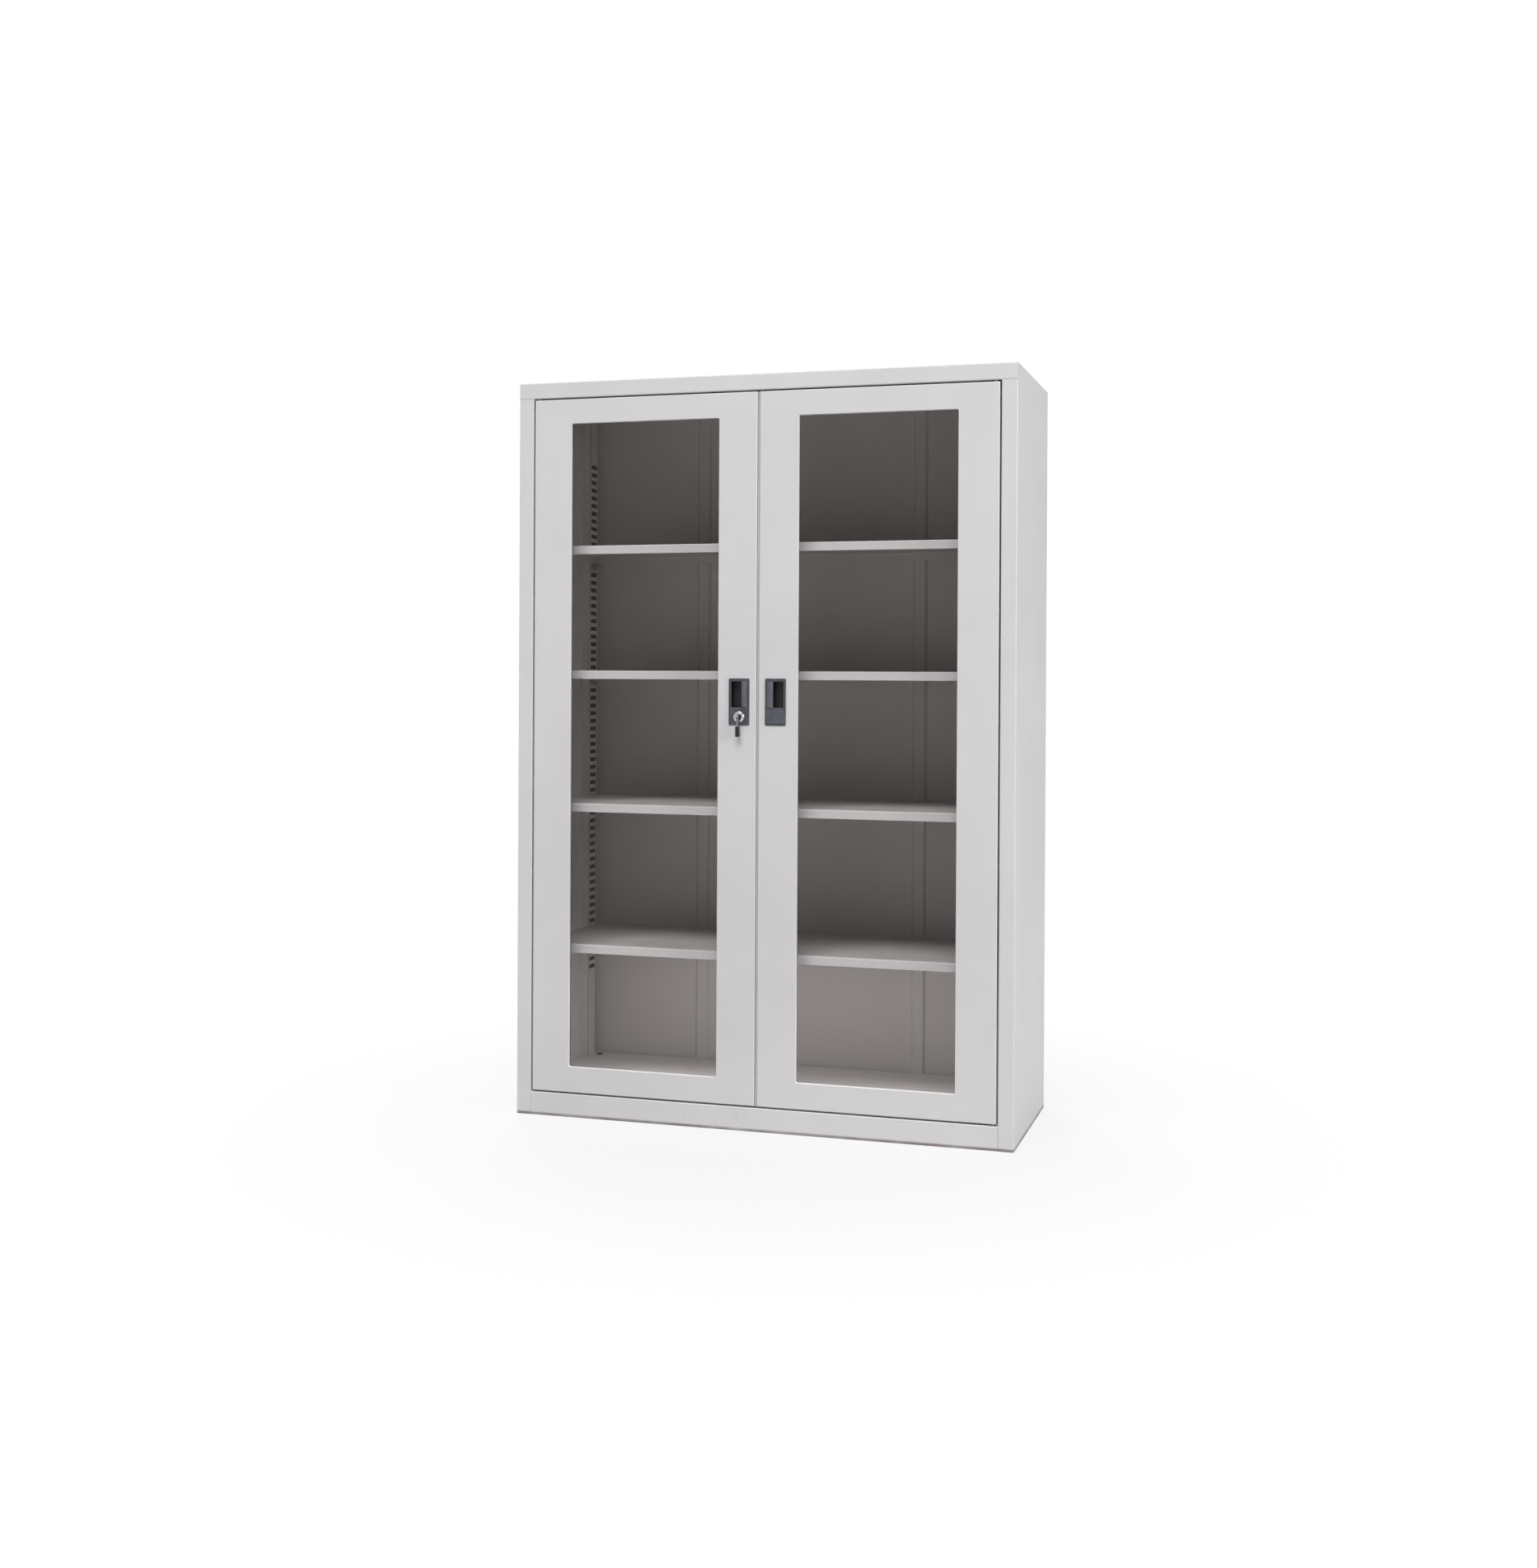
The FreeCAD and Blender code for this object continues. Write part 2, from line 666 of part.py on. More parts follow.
def bead_line(edge, way):
    lip = edge + way * BEAD_INSET
    web = edge + way * (BEAD_INSET + BEAD_LAP)
    foot = web + way * BEAD_FOOT
    return [
        (lip, SEAL_REAR + SHEET),
        (web, SEAL_REAR + SHEET),
        (web, FRONT + SHEET * 2),
        (foot, FRONT + SHEET * 2),
    ]


def upright_bead(edge, way):
    reach = BEAD_INSET + BEAD_LAP + BEAD_FOOT
    return plan_fold(bead_line(edge, way), -way, (WINDOW_LOW - reach, WINDOW_HIGH + reach))


def cross_bead(edge, way):
    x = (-WINDOW_OUT - BEAD_INSET + BEAD_CLEAR, -WINDOW_IN + BEAD_INSET - BEAD_CLEAR)
    line = [(y, z) for z, y in bead_line(edge, way)]
    return profile_fold(line, way, x)


beads = [
    upright_bead(-WINDOW_OUT, -1),
    upright_bead(-WINDOW_IN, 1),
    cross_bead(WINDOW_LOW, -1),
    cross_bead(WINDOW_HIGH, 1),
]


# Weld studs with nuts that clamp the beads
def bead_nut(x, z):
    base = FRONT + SHEET * 2
    nut = hex_prism(Vector(x, base, z), Vector(0, 1, 0), NUT_R, NUT_THICK)
    stud = hex_prism(Vector(x, base, z), Vector(0, 1, 0), STUD_R, STUD_LENGTH)
    return nut.fuse(stud).removeSplitter()


def spread(low, high, count):
    edge = (high - low) * nut_end_share
    step = (high - low - edge * 2) / (count - 1)
    return [low + edge + step * k for k in range(count)]


nut_out = BEAD_INSET + BEAD_LAP + SHEET + BEAD_FOOT / 2
nuts = []
for z in spread(WINDOW_LOW, WINDOW_HIGH, UPRIGHT_NUTS):
    nuts.append(bead_nut(-WINDOW_OUT - nut_out, z))
    nuts.append(bead_nut(-WINDOW_IN + nut_out, z))
for x in spread(-WINDOW_OUT, -WINDOW_IN, CROSS_NUTS):
    nuts.append(bead_nut(x, WINDOW_LOW - nut_out))
    nuts.append(bead_nut(x, WINDOW_HIGH + nut_out))

# Pivot pins in the doors and bushes in the frame
high_shank = (DOOR_HIGH - SHEET, HEAD_Z + BUSH_LENGTH - PIN_END_CLEAR)
high_head = (DOOR_HIGH - SHEET - PIN_HEAD_THICK, DOOR_HIGH - SHEET)
low_shank = (KICK_HEIGHT - BUSH_LENGTH + PIN_END_CLEAR, DOOR_LOW + SHEET)
low_head = (DOOR_LOW + SHEET, DOOR_LOW + SHEET + PIN_HEAD_THICK)
pivot_pins = []
for shank, head in ((high_shank, high_head), (low_shank, low_head)):
    pin = rod_z(-PIVOT_X, PIVOT_Y, shank, PIN_R)
    pivot_pins.append(pin.fuse(rod_z(-PIVOT_X, PIVOT_Y, head, PIN_HEAD_R)).removeSplitter())

bushes = []
for body, collar in (
    ((HEAD_Z, HEAD_Z + BUSH_LENGTH), (DOOR_HIGH + RUN_GAP, HEAD_Z)),
    ((KICK_HEIGHT - BUSH_LENGTH, KICK_HEIGHT), (KICK_HEIGHT, DOOR_LOW - RUN_GAP)),
):
    bush = rod_z(-PIVOT_X, PIVOT_Y, body, BUSH_R)
    bush = bush.fuse(rod_z(-PIVOT_X, PIVOT_Y, collar, BUSH_COLLAR_R)).removeSplitter()
    bore = (min(body[0], collar[0]), max(body[1], collar[1]))
    bushes += both_sides(bush.cut(rod_z(-PIVOT_X, PIVOT_Y, bore, PIN_R + PIN_FIT)))
save("pivot_bushes", group(bushes))

for hand, turned in (("left", group), ("right", lambda shapes: mirrored(group(shapes)))):
    save(hand + "_door_glass", turned([glass]))
    save(hand + "_glass_seal", turned([seal]))
    save(hand + "_glazing_beads", turned(beads))
    save(hand + "_bead_nuts", turned(nuts))
    save(hand + "_pivot_pins", turned(pivot_pins))


# Handle cup: face plate, finger pocket behind a pull lip, and a bay for the lock
def handle_cup():
    half = HANDLE_WIDTH / 2
    tall = HANDLE_HEIGHT / 2
    plate = soft_prism(
        (-HANDLE_X - half, -HANDLE_X + half),
        (PLATE_FACE, FRONT),
        (HANDLE_Z - tall, HANDLE_Z + tall),
        "y",
        HANDLE_CORNER,
    )
    plate = plate.makeFillet(HANDLE_EDGE, edges_on(plate, "y", PLATE_FACE))
    x, z = cup_opening(0)
    mouth_top = HANDLE_Z + tall - MOUTH_TOP
    mouth_low = LOCK_Z + MOUTH_RISE
    bay_top = mouth_low - CUP_WALL
    pocket_body = box(x, (FRONT, FRONT + CUP_DEPTH), (bay_top, z[1]))
    bay_body = box(x, (FRONT, FRONT + LOCK_BAY_DEPTH), (z[0], bay_top))
    cup = plate.fuse([pocket_body, bay_body]).removeSplitter()
    inside = (x[0] + CUP_WALL, x[1] - CUP_WALL)
    pocket = box(inside, (FRONT + LIP_BACK, FRONT + CUP_DEPTH - CUP_WALL), (mouth_low, mouth_top))
    mouth_x = -HANDLE_X - half + MOUTH_SIDE
    mouth = soft_prism(
        (mouth_x, mouth_x + MOUTH_WIDTH),
        (PLATE_FACE, FRONT + CUP_DEPTH - CUP_WALL),
        (mouth_low, mouth_top),
        "y",
        MOUTH_CORNER,
    )
    bay = box(inside, (FRONT + CUP_WALL, FRONT + LOCK_BAY_DEPTH), (z[0] + CUP_WALL, bay_top - CUP_WALL))
    boss = rod_y(-HANDLE_X, (FRONT, FRONT + BOSS_DEPTH), LOCK_Z, BARREL_R + BOSS_WALL)
    bore = rod_y(-HANDLE_X, (PLATE_FACE, FRONT + BOSS_DEPTH), LOCK_Z, BARREL_R + HOLE_CLEAR)
    cup = cup.cut([pocket, mouth]).cut(bay)
    return cup.fuse(boss).removeSplitter().cut(bore)


cup = handle_cup()
save("left_handle_cup", cup)
save("right_handle_cup", mirrored(cup))

# Blank cover over the unused lock place
BLANK_WIDTH = HANDLE_WIDTH - CUP_MARGIN * 2
BLANK_HEIGHT = BEZEL_R * 2 + CUP_MARGIN * 2
blank = soft_prism(
    (HANDLE_X - BLANK_WIDTH / 2, HANDLE_X + BLANK_WIDTH / 2),
    (PLATE_FACE - CUP_WALL, PLATE_FACE),
    (LOCK_Z - BLANK_HEIGHT / 2, LOCK_Z + BLANK_HEIGHT / 2),
    "y",
    HANDLE_CORNER,
)
blank = blank.makeChamfer(HANDLE_EDGE, edges_on(blank, "y", PLATE_FACE - CUP_WALL))
spigot = rod_y(HANDLE_X, (PLATE_FACE, FRONT + BOSS_DEPTH), LOCK_Z, BARREL_R)
save("lock_blank", blank.fuse(spigot).removeSplitter())

# Lock barrel, its nut, and the plug that turns in it
bezel = rod_y(LOCK_X, (PLATE_FACE - BEZEL_THICK, PLATE_FACE), LOCK_Z, BEZEL_R)
bezel = bezel.makeChamfer(BEZEL_EDGE, edges_on(bezel, "y", PLATE_FACE - BEZEL_THICK))
barrel = bezel.fuse(rod_y(LOCK_X, (PLATE_FACE, BARREL_REAR), LOCK_Z, BARREL_R)).removeSplitter()
plug_room = rod_y(LOCK_X, (PLATE_FACE - BEZEL_THICK, BARREL_REAR), LOCK_Z, PLUG_R + PIN_FIT)
save("lock_barrel", barrel.cut(plug_room))

nut = hex_prism(Vector(LOCK_X, FRONT + BOSS_DEPTH, LOCK_Z), Vector(0, 1, 0), LOCK_NUT_R, LOCK_NUT_THICK)
nut_bore = rod_y(LOCK_X, (FRONT + BOSS_DEPTH, BARREL_REAR), LOCK_Z, BARREL_R + HOLE_CLEAR)
save("lock_nut", nut.cut(nut_bore))

key_half = KEY_THICK / 2
key_tall = KEY_HEIGHT / 2
plug = rod_y(LOCK_X, (PLUG_FACE, CAM_FACE), LOCK_Z, PLUG_R)
keyway = box(
    (LOCK_X - key_half - KEY_CLEAR, LOCK_X + key_half + KEY_CLEAR),
    (PLUG_FACE, PLUG_FACE + KEYWAY_DEPTH),
    (LOCK_Z - key_tall - KEY_CLEAR, LOCK_Z + key_tall + KEY_CLEAR),
)
screw_room = rod_y(LOCK_X, (CAM_FACE - CAM_SCREW_LENGTH, CAM_FACE), LOCK_Z, CAM_SCREW_R + HOLE_CLEAR)
save("lock_plug", plug.cut([keyway, screw_room]))

# Crank plate on the plug, with its two pins, and the screw that holds it
cam = rod_y(LOCK_X, (CAM_FACE, CAM_REAR), LOCK_Z, CRANK_R + CRANK_EDGE)
for way in (1, -1):
    pin_x = LOCK_X + way * CRANK_R * CRANK_COS
    pin_z = LOCK_Z - way * CRANK_R * CRANK_SIN
    cam = cam.fuse(rod_y(pin_x, (CAM_REAR, ROD_REAR + ROD_GAP), pin_z, CRANK_PIN_R))
cam = cam.removeSplitter()
cam = cam.cut(rod_y(LOCK_X, (CAM_FACE, CAM_REAR), LOCK_Z, CAM_SCREW_R + HOLE_CLEAR))
save("lock_cam", cam)
screw_head = rod_y(LOCK_X, (CAM_REAR, CAM_REAR + CAM_SCREW_HEAD), LOCK_Z, CAM_SCREW_HEAD_R)
screw_tip = CAM_FACE - CAM_SCREW_LENGTH + ROD_GAP
screw_shank = rod_y(LOCK_X, (screw_tip, CAM_REAR), LOCK_Z, CAM_SCREW_R)
save("cam_screw", screw_head.fuse(screw_shank).removeSplitter())

# Key blade with the eye that the bow folds on
blade = box(
    (LOCK_X - key_half, LOCK_X + key_half),
    (KEY_PIVOT_Y, PLUG_FACE + KEYWAY_DEPTH - ROD_GAP),
    (LOCK_Z - key_tall, LOCK_Z + key_tall),
)
blade_x = (LOCK_X - key_half, LOCK_X + key_half)
blade = blade.fuse(rod_x(blade_x, KEY_PIVOT_Y, LOCK_Z, KEY_EYE_R)).removeSplitter()
save("key_blade", blade.cut(rod_x(blade_x, KEY_PIVOT_Y, LOCK_Z, KEY_PIN_R + PIN_FIT)))

# Folding bow: two cheeks on a pin, a tang and a moulded head hanging down
cheek_in = key_half + CHEEK_CLEAR
cheek_out = cheek_in + CHEEK_THICK
bow = rod_x((LOCK_X - cheek_out, LOCK_X + cheek_out), KEY_PIVOT_Y, LOCK_Z, KEY_PIN_R)
for way in (-1, 1):
    cheek_x = span(LOCK_X + way * cheek_in, LOCK_X + way * cheek_out)
    cheek = rod_x(cheek_x, KEY_PIVOT_Y, LOCK_Z, CHEEK_R)
    tang_y = (KEY_PIVOT_Y - TANG_WIDTH / 2, KEY_PIVOT_Y + TANG_WIDTH / 2)
    bow = bow.fuse([cheek, box(cheek_x, tang_y, (LOCK_Z - TANG_LENGTH, LOCK_Z))])
bridge_top = LOCK_Z - KEY_EYE_R - CHEEK_THICK
bridge = box((LOCK_X - cheek_out, LOCK_X + cheek_out), tang_y, (LOCK_Z - TANG_LENGTH, bridge_top))
save("key_tang", bow.fuse(bridge).removeSplitter())
head = soft_prism(
    (LOCK_X - HEAD_THICK / 2, LOCK_X + HEAD_THICK / 2),
    (KEY_PIVOT_Y - HEAD_WIDTH / 2, KEY_PIVOT_Y + HEAD_WIDTH / 2),
    (LOCK_Z - HEAD_TOP - HEAD_LENGTH, LOCK_Z - HEAD_TOP),
    "x",
    HEAD_CORNER,
)
tang_room = box(
    (LOCK_X - cheek_out, LOCK_X + cheek_out),
    tang_y,
    (LOCK_Z - TANG_LENGTH, LOCK_Z - HEAD_TOP),
)
save("key_head", head.cut(tang_room))


# Lock rods with the crank slots, and their guide blocks on the door
def crank_slot(x, z):
    wide = CRANK_R * (1 - CRANK_COS) / 2 + CRANK_PIN_R + SLOT_CLEAR
    tall = CRANK_PIN_R + CRANK_R * swing_share + SLOT_CLEAR
    return box((x - wide, x + wide), (ROD_FACE, ROD_REAR), (z - tall, z + tall)), tall


def lock_rod(way, tip):
    x = LOCK_X + way * ROD_OFFSET
    slot_centre = LOCK_Z - way * CRANK_R * CRANK_SIN
    slot, tall = crank_slot(x, slot_centre)
    end = slot_centre - way * (tall + ROD_END)
    bar = box((x - ROD_WIDTH / 2, x + ROD_WIDTH / 2), (ROD_FACE, ROD_REAR), span(end, tip))
    return bar.cut(slot)


save("upper_lock_rod", lock_rod(1, DOOR_HIGH - ROD_TIP_BACK))
save("lower_lock_rod", lock_rod(-1, DOOR_LOW + ROD_TIP_BACK))


def rod_guide(x, z):
    tall = (z - GUIDE_HEIGHT / 2, z + GUIDE_HEIGHT / 2)
    wide = GUIDE_WIDTH / 2
    slit = ROD_WIDTH / 2 + ROD_CLEAR
    block = box((x - wide, x + wide), (FRONT + SHEET, ROD_REAR + GUIDE_BACK), tall)
    return block.cut(box((x - slit, x + slit), (ROD_FACE - ROD_CLEAR, ROD_REAR + ROD_CLEAR), tall))


handle_top = HANDLE_Z + HANDLE_HEIGHT / 2
handle_low = HANDLE_Z - HANDLE_HEIGHT / 2
guides = [
    rod_guide(LOCK_X + ROD_OFFSET, handle_top + GUIDE_NEAR),
    rod_guide(LOCK_X + ROD_OFFSET, DOOR_HIGH - GUIDE_FAR),
    rod_guide(LOCK_X - ROD_OFFSET, handle_low - GUIDE_NEAR),
    rod_guide(LOCK_X - ROD_OFFSET, DOOR_LOW + GUIDE_FAR),
]
save("rod_guides", group(guides))

# Door buffers on the stop, magnetic catches behind it and strike plates on the doors
buffers = []
for share in BUFFER_SHARES:
    x = -DOOR_IN - (DOOR_OUT - DOOR_IN) * share
    z = HEAD_Z - STOP_DROP + BUFFER_R + SHEET
    buffers += both_sides(rod_y(x, (DOOR_REAR + RUN_GAP, STOP_Y), z, BUFFER_R))
save("door_buffers", group(buffers))

strike_y = (DOOR_REAR, DOOR_REAR + STRIKE_THICK)
strike_top = DOOR_HIGH - SHEET
strike = box(
    (-CATCH_X - STRIKE_WIDTH / 2, -CATCH_X + STRIKE_WIDTH / 2),
    strike_y,
    (strike_top - STRIKE_HEIGHT, strike_top),
)
save("left_strike_plate", strike)
save("right_strike_plate", mirrored(strike))

stop_low = HEAD_Z - STOP_DROP
catch_x = (-CATCH_X - CATCH_WIDTH / 2, -CATCH_X + CATCH_WIDTH / 2)
catch_low = stop_low - CATCH_CLEAR - CATCH_NOSE
catch = box(catch_x, (STOP_Y + SHEET, STOP_Y + SHEET + CATCH_DEPTH), (catch_low, HEAD_Z))
nose = box(catch_x, (strike_y[1] + RUN_GAP, STOP_Y + SHEET), (catch_low, catch_low + CATCH_NOSE))
save("magnetic_catches", group(both_sides(catch.fuse(nose).removeSplitter())))

# Dust strip closing the gap between the doors, fixed to the right door only
dust_line = [
    (DOOR_IN, FRONT + DUST_SETBACK + DUST_LEAF),
    (DOOR_IN, FRONT + DUST_SETBACK),
    (DOOR_IN - DUST_LIP, FRONT + DUST_SETBACK),
]
save("meeting_strip", plan_fold(dust_line, -1, (DOOR_LOW + BEAD_CLEAR, DOOR_HIGH - BEAD_CLEAR)))

# Levelling feet in threaded corner brackets
brackets = []
for name, x, y in FOOT_PLACES:
    pad = rod_z(x, y, (0, FOOT_PAD_THICK), FOOT_PAD_R)
    pad = pad.makeChamfer(FOOT_PAD_EDGE, edges_on(pad, "z", FOOT_PAD_THICK))
    screw = rod_z(x, y, (FOOT_PAD_THICK, FOOT_SCREW_TOP), FOOT_SCREW_R)
    slot = box(
        (x - FOOT_SCREW_R, x + FOOT_SCREW_R),
        (y - FOOT_SLOT_WIDTH / 2, y + FOOT_SLOT_WIDTH / 2),
        (FOOT_SCREW_TOP - FOOT_SLOT_DEPTH, FOOT_SCREW_TOP),
    )
    save(name + "_foot", pad.fuse(screw).removeSplitter().cut(slot))
    way = 1 if x > 0 else -1
    wide = (y - BRACKET_WIDTH / 2, y + BRACKET_WIDTH / 2)
    leg_x = span(way * SKIN, way * (SKIN - BRACKET_THICK))
    leg = box(leg_x, wide, (BRACKET_Z + BRACKET_THICK - BRACKET_LEG, BRACKET_Z + BRACKET_THICK))
    arm_x = span(way * SKIN, way * (SKIN - BRACKET_REACH))
    arm = box(arm_x, wide, (BRACKET_Z, BRACKET_Z + BRACKET_THICK))
    nut_low = Vector(x, y, BRACKET_Z - WELD_NUT_THICK)
    weld_nut = hex_prism(nut_low, Vector(0, 0, 1), WELD_NUT_R, WELD_NUT_THICK)
    thread = rod_z(x, y, (0, FOOT_SCREW_TOP), FOOT_SCREW_R + PIN_FIT)
    brackets.append(leg.fuse([arm, weld_nut]).removeSplitter().cut(thread))
save("foot_brackets", group(brackets))

# Rubber caps snapped into the floor holes, pulled out to reach the levelling screws
caps = []
for name, x, y in FOOT_PLACES:
    cap = rod_z(x, y, (FLOOR_Z, FLOOR_Z + CAP_THICK), CAP_R)
    cap = cap.makeFillet(CAP_EDGE, edges_on(cap, "z", FLOOR_Z + CAP_THICK))
    stem_low = FLOOR_Z - SHEET - CAP_STEM
    stem = rod_z(x, y, (stem_low, FLOOR_Z), FOOT_HOLE_R - HOLE_CLEAR)
    ridge = rod_z(x, y, (stem_low + CAP_RIDGE, stem_low + CAP_RIDGE * 2), FOOT_HOLE_R + RUN_GAP)
    caps.append(cap.fuse([stem, ridge]).removeSplitter())
save("hole_caps", group(caps))
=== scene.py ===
# %% [markdown]
# A glazed instrument cabinet. On the real one, folded steel panels are welded into a case,
# two glazed doors turn on pivots, and four lipped shelves hang on slotted strips.
# The imported frame already holds every piece at its real size and place, so this script
# dresses it: finishes for what is there, and finer pieces where a folded or moulded form
# shows more than a plain solid.

# %% Load the frame
import bpy
import bmesh
import json
import math
from mathutils import Color, Matrix, Vector


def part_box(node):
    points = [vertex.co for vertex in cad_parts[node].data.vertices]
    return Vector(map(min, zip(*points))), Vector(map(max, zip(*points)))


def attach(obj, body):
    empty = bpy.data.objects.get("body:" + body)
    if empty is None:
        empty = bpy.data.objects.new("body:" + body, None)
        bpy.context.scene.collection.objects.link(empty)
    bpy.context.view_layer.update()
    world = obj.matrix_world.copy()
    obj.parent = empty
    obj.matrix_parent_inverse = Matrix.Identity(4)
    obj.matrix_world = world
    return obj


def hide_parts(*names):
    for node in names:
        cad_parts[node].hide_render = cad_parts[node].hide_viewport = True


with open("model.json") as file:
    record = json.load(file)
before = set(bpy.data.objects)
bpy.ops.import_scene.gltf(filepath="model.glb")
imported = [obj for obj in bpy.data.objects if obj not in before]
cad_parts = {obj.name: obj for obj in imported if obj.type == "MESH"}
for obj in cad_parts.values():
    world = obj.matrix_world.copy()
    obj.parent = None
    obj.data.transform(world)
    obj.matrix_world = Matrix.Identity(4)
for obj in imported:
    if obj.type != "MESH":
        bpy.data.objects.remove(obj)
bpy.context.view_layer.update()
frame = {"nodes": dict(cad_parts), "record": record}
nodes = frame["nodes"]
scene = bpy.context.scene
MM = 0.001

# %% [markdown]
# The camera comes first, because everything is judged through it. The focal length and the
# optical axis are written in pixels of the photograph, and the place and the three angles in
# the cabinet's own frame. The axis lies above the middle of the picture and a little to the
# right, which a small lens shift gives without tilting the cabinet's upright edges.

# %% Camera at the photograph's viewpoint
PHOTO_WIDTH, PHOTO_HEIGHT = 1904, 1943
FOCAL_PIXELS = 2244.2
AXIS_PIXEL = (969.6, 847.9)
CAMERA_PLACE = (1.2506, -4.2104, 1.0494)
CAMERA_YAW = math.radians(16.62)
CAMERA_PITCH = math.radians(-0.21)
CAMERA_ROLL = math.radians(0.30)

lens = bpy.data.cameras.new("photo_camera")
lens.lens = lens.sensor_width * FOCAL_PIXELS / PHOTO_HEIGHT
lens.shift_x = (PHOTO_WIDTH / 2 - AXIS_PIXEL[0]) / PHOTO_HEIGHT
lens.shift_y = (AXIS_PIXEL[1] - PHOTO_HEIGHT / 2) / PHOTO_HEIGHT
camera = bpy.data.objects.new("photo_camera", lens)
camera.location = CAMERA_PLACE
camera.rotation_euler = (math.pi / 2 + CAMERA_PITCH, -CAMERA_ROLL, CAMERA_YAW)
scene.collection.objects.link(camera)
scene.camera = camera
scene.view_settings.view_transform = "Standard"
print("lens", round(lens.lens, 2), "mm, shift", round(lens.shift_y, 4))

# %% [markdown]
# A node tree reads well when its sums are written as sums. Socket wraps one output and turns
# + - * / and ** into Math nodes, also when the number comes first. Graph.node makes every
# other node: its settings go in first, then the values or links of its sockets, with a list
# where several links join. It serves materials, the world and the geometry trees alike. The
# Mix node has sockets for every kind of value, so those for colours are taken by number.

# %% Node graph helper
MIX_FACTOR, MIX_FIRST, MIX_SECOND, MIX_RESULT = 0, 6, 7, 2


class Socket:
    def __init__(self, graph, link):
        self.graph = graph
        self.link = link

    def __add__(self, other):
        return self.graph.math("ADD", self, other)

    def __sub__(self, other):
        return self.graph.math("SUBTRACT", self, other)

    def __rsub__(self, other):
        return self.graph.math("SUBTRACT", other, self)

    def __mul__(self, other):
        return self.graph.math("MULTIPLY", self, other)

    def __truediv__(self, other):
        return self.graph.math("DIVIDE", self, other)

    def __pow__(self, other):
        return self.graph.math("POWER", self, other)

    __radd__ = __add__
    __rmul__ = __mul__


class Graph:
    def __init__(self, tree):
        self.tree = tree
        tree.nodes.clear()

    def node(self, kind, settings=None, sockets=None, out=0):
        made = self.tree.nodes.new(kind)
        for key, value in (settings or {}).items():
            setattr(made, key, value)
        for key, value in (sockets or {}).items():
            if isinstance(value, (Socket, list)):
                for one in value if isinstance(value, list) else [value]:
                    self.tree.links.new(one.link, made.inputs[key])
            else:
                made.inputs[key].default_value = value
        return Socket(self, made.outputs[out]) if len(made.outputs) else made

    def math(self, operation, first, second=0.0):
        return self.node("ShaderNodeMath", {"operation": operation}, {0: first, 1: second})

    def mix(self, mask, first, second):
        sockets = {MIX_FACTOR: mask, MIX_FIRST: first, MIX_SECOND: second}
        return self.node("ShaderNodeMix", {"data_type": "RGBA"}, sockets, out=MIX_RESULT)

    def ramp(self, value, start, end):
        sockets = {"Value": value, "From Min": start, "From Max": end}
        return self.node("ShaderNodeMapRange", {"interpolation_type": "SMOOTHSTEP"}, sockets)

    def noise(self, place, scale, detail, rough=0.5):
        sockets = {"Vector": place, "Scale": scale, "Detail": detail, "Roughness": rough}
        return self.node("ShaderNodeTexNoise", sockets=sockets)


print("graph helper ready")

# %% [markdown]
# Colours are easiest to judge as the levels that a picture program shows, from 0 to 255.
# Shaders count light instead, so each written colour is turned to linear values once, here.

# %% Written colours
FULL_LEVEL = 255


def srgb(red, green, blue):
    shown = Color((red / FULL_LEVEL, green / FULL_LEVEL, blue / FULL_LEVEL))
    return (*shown.from_srgb_to_scene_linear(), 1.0)


WHITE = (1.0, 1.0, 1.0, 1.0)
print("mid grey is", round(srgb(128, 128, 128)[0], 3), "of full light")

# %% [markdown]
# The photograph is a catalogue picture: white all round, soft light from high in front, and
# a bright floor that throws light back up. So the doors and the shelf lips are pale, each
# shelf fades towards its back, and the lowest bay is the lightest. One wide lamp above and
# in front gives that, with one from the right for the side, a strip under the lowest shelf
# for the light that the floor throws in there, and one behind for whoever walks round it.
# That last one is kept out of reflections, because at a flat angle it would burn out the
# left side.

# %% Soft lamps
LAMPS = {
    "key_softbox": dict(place=(0.2, -8.4, 13.3), aim=(0, 0, 0.9), size=(11.0, 6.0), watts=2120.0),
    "side_softbox": dict(place=(5.5, -1.8, 2.6), aim=(0.6, 0, 0.9), size=(2.4, 2.6), watts=190.0),
    "bay_strip": dict(place=(0, -0.12, 0.375), aim=(0, -0.08, 0.06), size=(1.0, 0.05), watts=0.8),
    "back_softbox": dict(
        place=(-3.0, 5.2, 4.2), aim=(-0.2, 0.2, 0.9), size=(3.4, 2.4), watts=420.0, mirrored=False
    ),
}


def soft_lamp(name, place, aim, size, watts, mirrored=True):
    lamp = bpy.data.lights.new(name, "AREA")
    lamp.shape = "RECTANGLE"
    lamp.size, lamp.size_y = size
    lamp.energy = watts
    held = bpy.data.objects.new(name, lamp)
    held.location = place
    held.rotation_euler = (Vector(aim) - Vector(place)).to_track_quat("-Z", "Y").to_euler()
    held.visible_camera = False
    held.visible_glossy = mirrored
    scene.collection.objects.link(held)
    return held


for name, facts in LAMPS.items():
    print(soft_lamp(name, **facts).name, facts["watts"], "W")

# %% [markdown]
# The white surroundings could come from strong light, but that would bleach the cabinet. So
# Light Path shows them white to the camera and through the glass, half as bright in
# reflections, as only the lamps are bright in a real studio, and nearly dark to all else,
# which leaves the lighting to the lamps.

# %% White surroundings
AMBIENT = 0.03
MIRRORED = 0.5


def seen_directly(graph):
    path = graph.node("ShaderNodeLightPath", out="Is Camera Ray")
    outputs = path.link.node.outputs
    passed = Socket(graph, outputs["Is Transmission Ray"])
    mirrored = Socket(graph, outputs["Is Glossy Ray"]) * MIRRORED
    return graph.math("MAXIMUM", graph.math("MAXIMUM", path, passed), mirrored)


